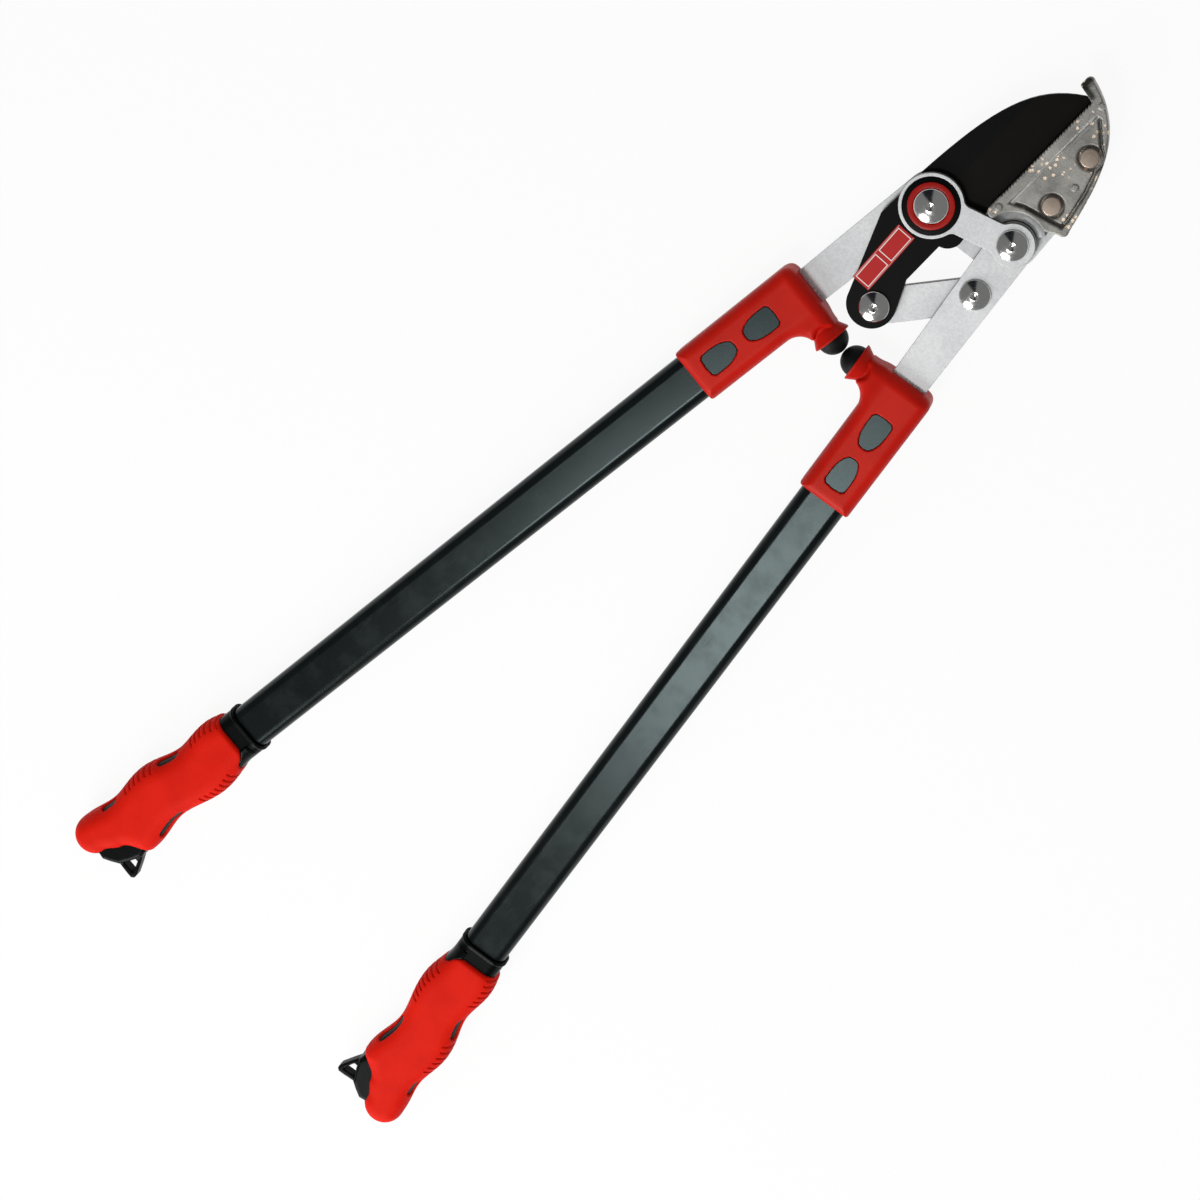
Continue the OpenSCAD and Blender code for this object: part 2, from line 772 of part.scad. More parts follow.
module bumper() {
    bumper_seat(0, bumper_x);
    translate([bumper_x, arm_y, 0]) rotate([0, 90, 0]) rotate_extrude() intersection() {
        circle(r = bumper_r);
        square(bumper_r);
    }
}

module tang_insert(bar_z) {
    inner_w = tube_w - 2 * tube_wall;
    inner_d = tube_d - 2 * tube_wall;
    difference() {
        along(-nose_len, tang_len - nose_len)
            rounded(inner_w - 2 * fit_clear, inner_d - 2 * fit_clear, tube_r - tube_wall);
        layer(bar_z - fit_clear, bar_t + 2 * fit_clear) translate([bar_offset, -tang_len])
            square([bar_w + 2 * fit_clear, 2 * tang_len], center = true);
        layer(-tube_d, 2 * tube_d) tang_rivet_holes();
    }
}

module tang_rivets() {
    for (y = pad_places) translate([0, y, 0]) {
        cylinder(d = tang_rivet_d, h = tube_d, center = true);
        for (z = [0, 1]) mirror([0, 0, z]) translate([0, 0, tube_d / 2])
            low_head(tang_head_r, tang_head_h);
    }
}

module tube() {
    difference() {
        along(-nose_len, socket_len - nose_len + tube_len + tube_in_grip) difference() {
            rounded(tube_w, tube_d, tube_r);
            rounded(tube_w - 2 * tube_wall, tube_d - 2 * tube_wall, tube_r - tube_wall);
        }
        layer(-tube_d, 2 * tube_d) tang_rivet_holes();
    }
}

// Point of the grip's plan from shares of its length and half width
function grip_point(share) = [share.y * grip_half_w, grip_front - share.x * grip_len];

module hang_tab() {
    polygon([for (s = tab_shares) grip_point(s)]);
}

module hang_eye() {
    translate(grip_point(eye_share)) polygon([
        [-eye_w / 2, -eye_l / 2], [eye_w / 2, -eye_l / 2], [eye_w / 2, -eye_l / 3], [eye_w / 8, eye_l / 2],
        [-eye_w / 8, eye_l / 2], [-eye_w / 2, -eye_l / 3]
    ]);
}

module sleeve(clear) {
    side = sleeve_wall + clear;
    along(grip_front - collar_len / 2, sleeve_len - collar_len / 2)
        rounded(tube_w + 2 * side, tube_d + 2 * side, tube_r + side);
    layer(-tab_t / 2 - clear, tab_t + 2 * clear) hang_tab();
    along(grip_front - sleeve_len + over, end_y - sleeve_len)
        translate([end_x, 0]) rounded(grip_end_r + 2 * clear, plug_d + 2 * clear, tube_r);
}

// Half plane beyond the tongue's line, on the grip's inner side
module tongue_side(clear) {
    translate([tongue_share * grip_half_w + clear, -grip_d]) square([2 * grip_half_w, 2 * grip_d]);
}

module grip_core() {
    difference() {
        union() {
            along(grip_front, collar_len + tongue_len - fit_clear) intersection() {
                rounded(collar_w, collar_d, collar_r);
                tongue_side(fit_clear);
            }
            along(grip_front, collar_lip_len)
                rounded(collar_w + 2 * collar_lip, collar_d + 2 * collar_lip, collar_r);
            along(grip_front, collar_len) rounded(collar_w, collar_d, collar_r);
            sleeve(0);
        }
        along(grip_front + over, tube_in_grip + over)
            rounded(tube_w + 2 * fit_clear, tube_d + 2 * fit_clear, tube_r);
        layer(-tab_t, 2 * tab_t) hang_eye();
    }
}

// Ring of the cover's outer form at a distance behind the collar's front
function ring_inner(s) = s > end_y ? end_x + sqrt(pow(grip_end_r, 2) - pow(s - end_y, 2))
    : grip_half_w * wave(inner_shares, s / grip_len);
function ring_outer(s) = s > end_y ? -end_x + sqrt(pow(grip_end_r, 2) - pow(s - end_y, 2))
    : grip_half_w * wave(outer_shares, s / grip_len);
function ring_depth(s) = s > end_y ? grip_d / 2 * sqrt(1 - pow((s - end_y) / grip_end_r, 2))
    : grip_d / 2;
function grip_ring(s) =
    let (mid = (ring_inner(s) - ring_outer(s)) / 2, half = (ring_inner(s) + ring_outer(s)) / 2) [
    for (k = [0:grip_sides - 1]) let (turn = 360 * (k + 0.5) / grip_sides) [
        mid + half * signed_pow(cos(turn), 2 / grip_square), grip_front - s,
        ring_depth(s) * signed_pow(sin(turn), 2 / grip_square)
    ]
];

module grip_form() {
    stations = concat(
        [for (i = [0:grip_rings]) collar_len + (end_y - collar_len) * i / grip_rings],
        [for (i = [1:end_rings]) end_y + grip_end_r * sin(82 * i / end_rings)]
    );
    last = len(stations) - 1;
    n = grip_sides;
    points = [for (s = stations) each grip_ring(s)];
    sides = [
        for (i = [0:last - 1], k = [0:n - 1]) let (a = i * n + k, b = i * n + (k + 1) % n)
        each [[a, b, a + n], [b, b + n, a + n]]
    ];
    caps = concat(
        [for (k = [1:n - 2]) [0, k + 1, k]],
        [for (k = [1:n - 2]) [last * n, last * n + k, last * n + k + 1]]
    );
    polyhedron(points = points, faces = concat(sides, caps));
}

// Long window in one side of the cover, where the inner grip shows
module window(span) {
    from = grip_front - span[0] * grip_len - window_h / 2;
    to = grip_front - span[1] * grip_len + window_h / 2;
    translate([0, 0, window_lift]) rotate([0, 90, 0]) linear_extrude(grip_half_w + over) {
        for (y = [from, to]) translate([0, y]) circle(d = window_h);
        translate([-window_h / 2, to]) square([window_h, from - to]);
    }
}

module grip_cover() {
    difference() {
        grip_form();
        sleeve(fit_clear);
        along(grip_front + over, collar_len + over) square([4 * grip_half_w, 4 * grip_d], center = true);
        along(grip_front, collar_len + tongue_len) tongue_side(0);
        for (span = outer_windows) mirror([1, 0, 0]) window(span);
        for (span = inner_windows) window(span);
    }
}

module left_socket() { color("firebrick") place() left_handle() socket(-bar_t); }
module left_socket_pads() { color("slategray") place() left_handle() socket_pads(); }
module left_bumper() { color([0.1, 0.1, 0.1]) place() left_handle() bumper(); }
module left_tang_insert() { color("dimgray") place() left_handle() tang_insert(-bar_t); }
module left_tang_rivets() { color("silver") place() left_handle() tang_rivets(); }
module left_tube() { color([0.15, 0.17, 0.18]) place() left_handle() tube(); }
module left_grip_core() { color([0.1, 0.1, 0.1]) place() left_handle() grip_core(); }
module left_grip_cover() { color("red") place() left_handle() grip_cover(); }
module right_socket() { color("firebrick") place() right_handle() socket(0); }
module right_socket_pads() { color("slategray") place() right_handle() socket_pads(); }
module right_bumper() { color([0.1, 0.1, 0.1]) place() right_handle() bumper(); }
module right_tang_insert() { color("dimgray") place() right_handle() tang_insert(0); }
module right_tang_rivets() { color("silver") place() right_handle() tang_rivets(); }
module right_tube() { color([0.15, 0.17, 0.18]) place() right_handle() tube(); }
module right_grip_core() { color([0.1, 0.1, 0.1]) place() right_handle() grip_core(); }
module right_grip_cover() { color("red") place() right_handle() grip_cover(); }

left_bar();
front_side_plate();
anvil();
anvil_rivets();
main_pivot_bolt();
main_pivot_nut();
pivot_bush();
pivot_trim_ring();
lever_pivot_rivet();
blade_washers();
blade();
blade_label();
tail_rivet();
tail_washer();
cross_link();
right_bar();
link_rivet();
left_socket();
left_socket_pads();
left_bumper();
left_tang_insert();
left_tang_rivets();
left_tube();
left_grip_core();
left_grip_cover();
right_socket();
right_socket_pads();
right_bumper();
right_tang_insert();
right_tang_rivets();
right_tube();
right_grip_core();
right_grip_cover();
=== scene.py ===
"""Looks of a two-handed compound anvil lopper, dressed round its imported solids."""

import json
import math

import bmesh
import bpy
import numpy as np
from mathutils import Matrix, Vector


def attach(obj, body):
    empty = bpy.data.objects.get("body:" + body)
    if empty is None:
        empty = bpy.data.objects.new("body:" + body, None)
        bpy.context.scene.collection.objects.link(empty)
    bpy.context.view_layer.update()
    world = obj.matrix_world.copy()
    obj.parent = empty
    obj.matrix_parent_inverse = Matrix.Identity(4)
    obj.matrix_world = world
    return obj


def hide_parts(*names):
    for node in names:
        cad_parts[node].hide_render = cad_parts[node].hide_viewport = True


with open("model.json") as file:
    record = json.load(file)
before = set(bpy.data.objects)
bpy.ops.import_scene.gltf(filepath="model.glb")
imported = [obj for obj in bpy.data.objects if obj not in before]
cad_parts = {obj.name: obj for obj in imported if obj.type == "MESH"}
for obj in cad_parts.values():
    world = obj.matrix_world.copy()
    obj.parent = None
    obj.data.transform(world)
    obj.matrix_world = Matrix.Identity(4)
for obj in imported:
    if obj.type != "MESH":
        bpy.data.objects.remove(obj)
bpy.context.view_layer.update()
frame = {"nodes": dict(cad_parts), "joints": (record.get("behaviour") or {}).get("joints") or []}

# Places as the solids have them, in millimetres from the main pivot: +Y to the jaw, +Z to the front

MM = 0.001
PIVOTS = {joint["name"]: np.array(joint["pos_m"]) / MM for joint in frame["joints"]}
MAIN = PIVOTS["blade_swing"]
MAIN_PIN = (0, 0)
LEVER_PIN = (PIVOTS["handle_open"] - MAIN)[:2]
LINK_PIN = (PIVOTS["link_swing"] - MAIN)[:2]
TAIL_REACH, TAIL_TURN = 67.4, math.radians(14.3)
TAIL_PIN = TAIL_REACH * np.array([math.sin(TAIL_TURN), -math.cos(TAIL_TURN)])
JAW = 103.3
BLADE_EDGE = 24.8
HOOK_RADIUS = JAW + 0.9

# Heights of the head's layers
BAR_BACK = -5
WASHER = 0.5
BLADE_TOP = 4.5
PLATE_BACK, PLATE_TOP = 5, 9
BUSH_TOP, TRIM_TOP = 8.6, 10
ANVIL_TOP, POCKET_FLOOR = 9.5, 8.3

# Handles: the right one mirrors the left one about the line x = MIDDLE
MIDDLE = 22.05
HANDLE_ANGLE = math.radians(7.8)
SOCKET_FRONT = (-18.75, -83.2, 0)

HEAD = Matrix.Scale(MM, 4) @ Matrix.Translation(MAIN)
MIRROR = Matrix.Translation((2 * MIDDLE, 0, 0)) @ Matrix.Scale(-1, 4, (1, 0, 0))
TO_HANDLE = Matrix.Translation(SOCKET_FRONT) @ Matrix.Rotation(-HANDLE_ANGLE, 4, "Z")
HANDLES = {
    "left": (HEAD @ TO_HANDLE, "left_lever"),
    "right": (HEAD @ MIRROR @ TO_HANDLE, "right_lever"),
}


def at(point):
    """Place of a piece made round a point of the head."""
    return HEAD @ Matrix.Translation((*point, 0))


def to_row(point):
    """A point of the head in the row's frame, in metres."""
    return at(point).to_translation()


def handle_axes(side):
    """Front of a socket and its handle's forward direction, in the row's frame."""
    matrix = HANDLES[side][0]
    origin = np.array(matrix.to_translation())
    ahead = np.array(matrix.col[1][:3])
    return origin, ahead / np.linalg.norm(ahead)


# Camera at the photograph's viewing angle

def make_camera():
    data = bpy.data.cameras.new("camera")
    data.lens, data.sensor_width = 74.21, 36
    data.clip_start, data.clip_end = 0.05, 20
    camera = bpy.data.objects.new("camera", data)
    spot = (-0.05675, 0.59795, 1.40566)
    right = (0.72608, 0.6393, -0.25318)
    up = (-0.6866, 0.65417, -0.31724)
    back = (-0.03719, 0.40418, 0.91392)
    turn = Matrix((right, up, back)).transposed().to_4x4()
    camera.matrix_world = Matrix.Translation(spot) @ turn
    bpy.context.scene.collection.objects.link(camera)
    bpy.context.scene.camera = camera


make_camera()


# Shader values

ACROSS, AHEAD, UPWARD = (1, 0, 0), (0, 1, 0), (0, 0, 1)
WHITE = (1, 1, 1)
# A colour Mix node's sockets, by place, since several share a name
MIX_FACTOR, MIX_FIRST, MIX_SECOND, MIX_RESULT = 0, 6, 7, 2


class Value:
    """What a socket gives; arithmetic on it adds Math nodes."""

    def __init__(self, tree, socket=None):
        self.tree, self.socket = tree, socket

    def make(self, kind, settings=None, inputs=None, out=0):
        """A node of any kind: its settings first, then the values or links of its sockets."""
        made = self.tree.nodes.new("ShaderNode" + kind)
        for name, setting in (settings or {}).items():
            setattr(made, name, setting)
        for key, given in (inputs or {}).items():
            self.put(made.inputs[key], given)
        return Value(self.tree, made.outputs[out])

    def put(self, socket, given):
        """Links a value to a socket, or sets a plain number or colour on it."""
        if isinstance(given, Value):
            self.tree.links.new(given.socket, socket)
        elif socket.type == "RGBA" and len(given) == 3:
            socket.default_value = (*given, 1)
        else:
            socket.default_value = given

    def maths(self, operation, *values):
        return self.make("Math", {"operation": operation}, dict(enumerate(values)))

    def __add__(self, other):
        return self.maths("ADD", self, other)

    def __radd__(self, other):
        return self.maths("ADD", other, self)

    def __sub__(self, other):
        return self.maths("SUBTRACT", self, other)

    def __rsub__(self, other):
        return self.maths("SUBTRACT", other, self)

    def __mul__(self, other):
        return self.maths("MULTIPLY", self, other)

    def __rmul__(self, other):
        return self.maths("MULTIPLY", other, self)

    def __truediv__(self, other):
        return self.maths("DIVIDE", self, other)

    def __pow__(self, other):
        return self.maths("POWER", self, other)

    def __abs__(self):
        return self.maths("ABSOLUTE", self)

    def sine(self):
        return self.maths("SINE", self)

    def least(self, other):
        return self.maths("MINIMUM", self, other)

    def most(self, other):
        return self.maths("MAXIMUM", self, other)

    def ramp(self, low, high):
        """0 below low, 1 above high, smooth between."""
        inputs = {"Value": self, "From Min": low, "From Max": high}
        return self.make("MapRange", {"interpolation_type": "SMOOTHSTEP"}, inputs)

    def mix(self, first, second):
        """A colour from first at 0 to second at 1."""
        inputs = {MIX_FACTOR: self, MIX_FIRST: first, MIX_SECOND: second}
        return self.make("Mix", {"data_type": "RGBA"}, inputs, MIX_RESULT)

    def dot(self, direction):
        inputs = {0: self, 1: tuple(direction)}
        return self.make("VectorMath", {"operation": "DOT_PRODUCT"}, inputs, "Value")

    def along(self, origin, direction):
        """Distance in millimetres from a point along a direction."""
        return (self.dot(direction) - float(np.dot(origin, direction))) / MM

    def noise(self, size, detail, rough, scale=None):
        """Noise of about size millimetres at this place, stretched by scale."""
        place = self
        if scale:
            place = self.make("VectorMath", {"operation": "MULTIPLY"}, {0: self, 1: scale})
        inputs = {"Vector": place, "Scale": 1 / (size * MM), "Detail": detail, "Roughness": rough}
        return self.make("TexNoise", {}, inputs)

    def cells(self, size):
        """Distance to the middle of the nearest of scattered cells, in cell sizes."""
        return self.make("TexVoronoi", {}, {"Vector": self, "Scale": 1 / (size * MM)})


class Finish:
    """A material under way: its place value and its shader."""

    def __init__(self, name, **sockets):
        self.material = bpy.data.materials.new(name)
        self.material.use_nodes = True
        tree = self.material.node_tree
        self.shader = tree.nodes["Principled BSDF"]
        self.place = Value(tree).make("TexCoord", out="Object")
        self.set(**sockets)

    def set(self, **sockets):
        """Shader sockets by their names in lower case, with _ for a space."""
        for key, given in sockets.items():
            name = key.replace("_", " ").title().replace("Ior", "IOR")
            self.place.put(self.shader.inputs[name], given)

    def upright(self):
        """1 where the surface faces straight up or down, 0 on its sides."""
        normal = self.place.make("TexCoord", out="Normal")
        return abs(normal.make("SeparateXYZ", {}, {0: normal}, "Z"))

    def bump(self, height, depth):
        """Height from 0 to 1, raised to depth in millimetres."""
        inputs = {"Height": height, "Distance": depth * MM, "Strength": 1.0}
        self.set(normal=self.place.make("Bump", {}, inputs))


# Finishes

def plated_steel():
    """Zinc-plated flat steel: pale spangle, faint scratches, painted shade on the side walls, brown
    grime.
    """
    dull, bright = (0.56, 0.57, 0.58), (0.80, 0.81, 0.81)
    # The middle colour of these three is painted shade for the side walls.
    grime, painted_edge_shade, scratched = (0.085, 0.070, 0.045), (0.12, 0.115, 0.105), (0.42, 0.42, 0.42)
    f = Finish("plated_steel", metallic=0.55)
    p = f.place
    spangle = p.noise(1.6, 5, 0.7)
    broad = p.noise(22, 3, 0.5)
    grain = p.noise(0.35, 2, 0.6)
    lengthwise = (1.0, 0.035, 1.0)
    scratch = p.noise(0.5, 2, 0.6, lengthwise).ramp(0.66, 0.74)
    tone = 0.55 * spangle.ramp(0.32, 0.66) + 0.45 * broad.ramp(0.3, 0.7)
    colour = tone.mix(dull, bright)
    mouths = [1 - abs(p.along(*handle_axes(side))).ramp(0.3, 3.2) for side in HANDLES]
    near = mouths[0].most(mouths[1])
    dirt = near * near * p.noise(0.9, 4, 0.7).ramp(0.46, 0.62)
    colour = (0.8 * dirt).mix(colour, grime)
    # Painted shade: side walls darken where the surface stops facing up.
    side_shade = 1 - f.upright().ramp(0.55, 0.97)
    colour = (0.85 * side_shade).mix(colour, painted_edge_shade)
    f.set(base_color=(scratch * 0.35).mix(colour, scratched))
    f.set(roughness=0.40 + 0.16 * spangle + 0.1 * broad + 0.2 * dirt)
    f.bump(0.6 * spangle + 0.4 * grain, 0.035)
    return f.material


def coated_blade():
    """Black low-friction coating, a little browner and smoother on the ground bevel."""
    coat, rub_and_highlight = (0.0017, 0.0020, 0.0018), (0.0036, 0.0039, 0.0035)
    brown = (0.0050, 0.0040, 0.0032)
    bevel_width, bevel_start = 25, 14.5
    f = Finish("coated_blade", ior=1.17)
    p = f.place
    across = p.along(to_row((BLADE_EDGE - bevel_width, 0)), ACROSS)
    ahead = p.along(to_row((0, bevel_start)), AHEAD)
    ground = across.ramp(0, 0.6) * ahead.ramp(0, 0.6)
    fine = p.noise(0.3, 3, 0.6)
    wear = p.noise(9, 4, 0.6)
    colour = wear.mix(coat, rub_and_highlight)
    colour = (ground * 0.85).mix(colour, brown)
    f.set(base_color=colour, roughness=0.36 + 0.10 * wear - 0.03 * ground)
    f.bump(fine, 0.010)
    return f.material


def die_cast():
    """Tumbled zinc casting: warm grey, coppery specks painted bright as glints, a painted highlight on
    the pocket edge, painted shade in the horn.
    """
    shade_grey, light_grey = (0.190, 0.188, 0.174), (0.440, 0.430, 0.400)
    # Colours of a painted highlight, of painted shade and of painted glints.
    polish_and_highlight, horn_shade, glint_copper = (0.66, 0.67, 0.66), (0.020, 0.023, 0.016), (1.0, 0.80, 0.62)
    edge_x, edge_start, edge_end = 0.294 * JAW, 0.30 * JAW, 0.92 * JAW
    horn_x, horn_start, horn_end = 12.8, 97, 22
    f = Finish("die_cast", metallic=0.75)
    p = f.place
    cloud = p.noise(14, 4, 0.6)
    grain = p.noise(0.7, 4, 0.65)
    dents = p.cells(3.4) + 0.45 * p.noise(0.8, 2, 0.6)
    patch = p.noise(15, 2, 0.5).ramp(0.44, 0.54)
    # Painted glints: small dents get a bright coppery colour, besides lower roughness and a bump.
    flecks_and_glints = (1 - dents.ramp(0.46, 0.55)) * patch
    tone = (0.55 * cloud + 0.45 * grain).ramp(0.32, 0.68)
    colour = tone.mix(shade_grey, light_grey)
    across, ahead = p.along(to_row(MAIN_PIN), ACROSS), p.along(to_row(MAIN_PIN), AHEAD)
    edge = abs(across - edge_x)
    # Painted highlight: a light line along the pocket's left edge, between its ends.
    rub_and_highlight = (1 - edge.ramp(0.35, 0.95)) * p.noise(3.0, 3, 0.6).ramp(0.25, 0.55)
    rub_and_highlight = rub_and_highlight * ahead.ramp(edge_start, edge_start + 0.02 * JAW)
    rub_and_highlight = rub_and_highlight * (1 - ahead.ramp(edge_end, edge_end + 0.03 * JAW))
    colour = (0.7 * rub_and_highlight).mix(colour, polish_and_highlight)
    # Painted shade on the inner face of the horn, where the groove's far side is in shadow.
    hook = (across * across + ahead * ahead) ** 0.5 - HOOK_RADIUS
    hook = hook.least(across - horn_x)
    inner_horn_shade = (1 - hook.ramp(2.2, 4.4)) * ahead.ramp(horn_start, horn_start + 3)
    inner_horn_shade = inner_horn_shade * (1 - across.ramp(horn_end, horn_end + 3))
    colour = (0.92 * inner_horn_shade).mix(colour, horn_shade)
    f.set(base_color=flecks_and_glints.mix(colour, glint_copper))
    f.set(roughness=0.44 + 0.14 * grain - 0.14 * flecks_and_glints)
    f.bump(0.55 * grain + 0.45 * cloud - 0.6 * flecks_and_glints, 0.09)
    return f.material


def turned(name, pin, colour, rough, rings, depth):
    """Turned or buffed metal with fine rings round an upright axis."""
    f = Finish(name, metallic=1.0)
    p = f.place
    origin = to_row(pin)
    dx, dy = p.along(origin, ACROSS), p.along(origin, AHEAD)
    radius = (dx * dx + dy * dy) ** 0.5
    wobble = p.noise(3.0, 3, 0.6)
    lines = (radius * rings + 0.4 * wobble).sine()
    smear = p.noise(2.0, 4, 0.6)
    f.set(base_color=smear.mix(tuple(0.86 * c for c in colour), colour))
    f.set(roughness=rough + 0.10 * smear.ramp(0.45, 0.75))
    f.bump(0.5 + 0.3 * lines + 0.2 * smear, depth)
    return f.material


def moulded_plastic(name, dark, light, rough, grain, depth, ior, tint=WHITE):
    """Moulded plastic or rubber with a fine eroded texture and soft blotches."""
    scuffed = tuple(0.75 * c + 0.01 for c in light)
    f = Finish(name, ior=ior, specular_tint=tint)
    p = f.place
    fine = p.noise(grain, 3, 0.6)
    broad = p.noise(26, 3, 0.5)
    scuff = p.noise(5, 5, 0.7).ramp(0.60, 0.78)
    colour = (0.7 * broad.ramp(0.3, 0.7) + 0.3 * fine).mix(dark, light)
    f.set(base_color=(0.10 * scuff).mix(colour, scuffed))
    f.set(roughness=rough - 0.05 + 0.12 * fine + 0.06 * scuff)
    f.bump(fine, depth)
    return f.material


def painted_tube():
    """Satin black stove enamel with slight orange peel, worn patches and fine length marks."""
    enamel, worn = (0.0020, 0.0026, 0.0026), (0.0038, 0.0050, 0.0052)
    marked = (0.014, 0.017, 0.018)
    f = Finish("painted_tube", ior=1.34, specular_tint=(0.80, 1.0, 1.0))
    p = f.place
    peel = p.noise(1.1, 2, 0.5)
    rub = p.noise(18, 4, 0.6).ramp(0.42, 0.72)
    lengthwise = (1.0, 0.02, 1.0)
    marks = p.noise(0.8, 2, 0.6, lengthwise).ramp(0.64, 0.76)
    colour = rub.mix(enamel, worn)
    f.set(base_color=(marks * 0.3).mix(colour, marked))
    f.set(roughness=0.21 + 0.05 * rub + 0.07 * marks)
    f.bump(peel, 0.006)
    return f.material


def label_print():
    """Red printed foil with two plain white frames, one on each half, and a rule at each side."""
    deep_red, red, pale = (0.42, 0.012, 0.011), (0.52, 0.020, 0.018), (0.85, 0.78, 0.75)
    frame_half, frame_near, frame_far, rule_x = 4.6, 1.6, 18.4, 5.35
    f = Finish("label_print", ior=1.26)
    p = f.place
    centre = to_row((0.009 * JAW, -0.396 * JAW))
    turn = math.radians(2.4)
    side = abs(p.along(centre, (math.cos(turn), math.sin(turn), 0)))
    length = abs(p.along(centre, (-math.sin(turn), math.cos(turn), 0)))
    edge = (frame_half - side).least(length - frame_near).least(frame_far - length)
    frame_line = 1 - abs(edge).ramp(0.18, 0.34)
    rule = 1 - abs(side - rule_x).ramp(0.06, 0.16)
    white = frame_line.most(rule * 0.55)
    print_grain = p.noise(0.25, 2, 0.5)
    colour = print_grain.mix(deep_red, red)
    f.set(base_color=white.mix(colour, pale), roughness=0.34 + 0.1 * print_grain)
    f.bump(print_grain, 0.004)
    return f.material


RED_PLASTIC = moulded_plastic(
    "red_plastic", dark=(0.44, 0.0050, 0.0015), light=(0.55, 0.0080, 0.0030),
    rough=0.42, grain=0.38, depth=0.03, ior=1.26, tint=(1, 0.75, 0.6),
)
RED_RUBBER = moulded_plastic(
    "red_rubber", dark=(0.55, 0.0060, 0.0015), light=(0.65, 0.0095, 0.0030),
    rough=0.60, grain=0.5, depth=0.04, ior=1.20, tint=(1, 0.5, 0.35),
)
RED_TRIM = moulded_plastic(
    "red_trim", dark=(0.30, 0.0045, 0.0020), light=(0.38, 0.0075, 0.0030),
    rough=0.25, grain=0.6, depth=0.006, ior=1.30,
)
BLACK_PLASTIC = moulded_plastic(
    "black_plastic", dark=(0.0014, 0.0018, 0.0017), light=(0.0030, 0.0036, 0.0035),
    rough=0.27, grain=0.4, depth=0.010, ior=1.15,
)
BLACK_RUBBER = moulded_plastic(
    "black_rubber", dark=(0.0026, 0.0032, 0.0036), light=(0.0054, 0.0062, 0.0066),
    rough=0.52, grain=0.6, depth=0.05, ior=1.26,
)
SLATE = moulded_plastic(
    "slate_plastic", dark=(0.010, 0.0145, 0.0155), light=(0.018, 0.025, 0.0265),
    rough=0.24, grain=0.45, depth=0.008, ior=1.39, tint=(0.78, 1, 1),
)
PLATED = plated_steel()
COATED = coated_blade()
DIE_CAST = die_cast()
PAINT = painted_tube()
LABEL = label_print()


# Mesh makers; all sizes in millimetres until piece() places them

CREASE = 38
SPUN_SEGMENTS = 96
SETTLE_ROUNDS = 3


def shade(mesh, angle):
    """Smooth shading with creases at edges sharper than the angle."""
    bm = bmesh.new()
    bm.from_mesh(mesh)
    bm.normal_update()
    limit = math.radians(angle)
    for face in bm.faces:
        face.smooth = True
    for edge in bm.edges:
        edge.smooth = len(edge.link_faces) != 2 or edge.calc_face_angle(0) < limit
    bm.to_mesh(mesh)
    bm.free()


def piece(name, mesh, place, body, node, finish, angle=CREASE, flat=False):
    """Puts a mesh in place on its body, in its finish, for the node it stands for."""
    mesh.name = name
    mesh.transform(place)
    if place.determinant() < 0:
        mesh.flip_normals()
    shade(mesh, angle)
    mesh.materials.clear()
    mesh.materials.append(finish)
    made = bpy.data.objects.new(name, mesh)
    bpy.context.scene.collection.objects.link(made)
    if flat:
        weighted = made.modifiers.new("flat_faces", "WEIGHTED_NORMAL")
        weighted.weight, weighted.keep_sharp = 100, True
    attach(made, body)
    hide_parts(node)


def mesh_of(points, faces):
    mesh = bpy.data.meshes.new("mesh")
    points = [tuple(map(float, p)) for p in points]
    mesh.from_pydata(points, [], [tuple(map(int, f)) for f in faces])
    mesh.validate()
    return mesh


def softened(node, width, angle=40):
    """Copy of a flat or faceted solid with its sharp edges broken."""
    bm = bmesh.new()
    bm.from_mesh(frame["nodes"][node].data)
    bmesh.ops.remove_doubles(bm, verts=bm.verts, dist=0.002 * MM)
    level = math.radians(0.5)
    bmesh.ops.dissolve_limit(bm, angle_limit=level, verts=bm.verts, edges=bm.edges)
    limit = math.radians(angle)
    sharp = [e for e in bm.edges if len(e.link_faces) == 2 and e.calc_face_angle(0) > limit]
    bmesh.ops.bevel(
        bm, geom=sharp, offset=width * MM, offset_type="OFFSET", segments=2, profile=0.5,
        affect="EDGES", clamp_overlap=True,
    )
    mesh = bpy.data.meshes.new(node)
    bm.to_mesh(mesh)
    bm.free()
    return mesh


def joined(meshes):
    bm = bmesh.new()
    for mesh in meshes:
        bm.from_mesh(mesh)
        bpy.data.meshes.remove(mesh)
    made = bpy.data.meshes.new("joined")
    bm.to_mesh(made)
    bm.free()
    return made


def eased(points, radius, closed=False, steps=4):
    """Outline with its corners rounded; radius is one value or one for each point."""
    points = [np.array(p, float) for p in points]
    count = len(points)
    radii = radius if hasattr(radius, "__len__") else [radius] * count
    made = []
    for i, p in enumerate(points):
        if not closed and i in (0, count - 1):
            made.append(p)
            continue
        before, after = points[i - 1] - p, points[(i + 1) % count] - p
        a, b = np.linalg.norm(before), np.linalg.norm(after)
        cut = min(radii[i], 0.49 * a, 0.49 * b)
        if cut <= 0:
            made.append(p)
            continue
        start, end = p + before / a * cut, p + after / b * cut
        for k in range(steps + 1):
            t = k / steps
            made.append((1 - t) ** 2 * start + 2 * t * (1 - t) * p + t * t * end)
    return made


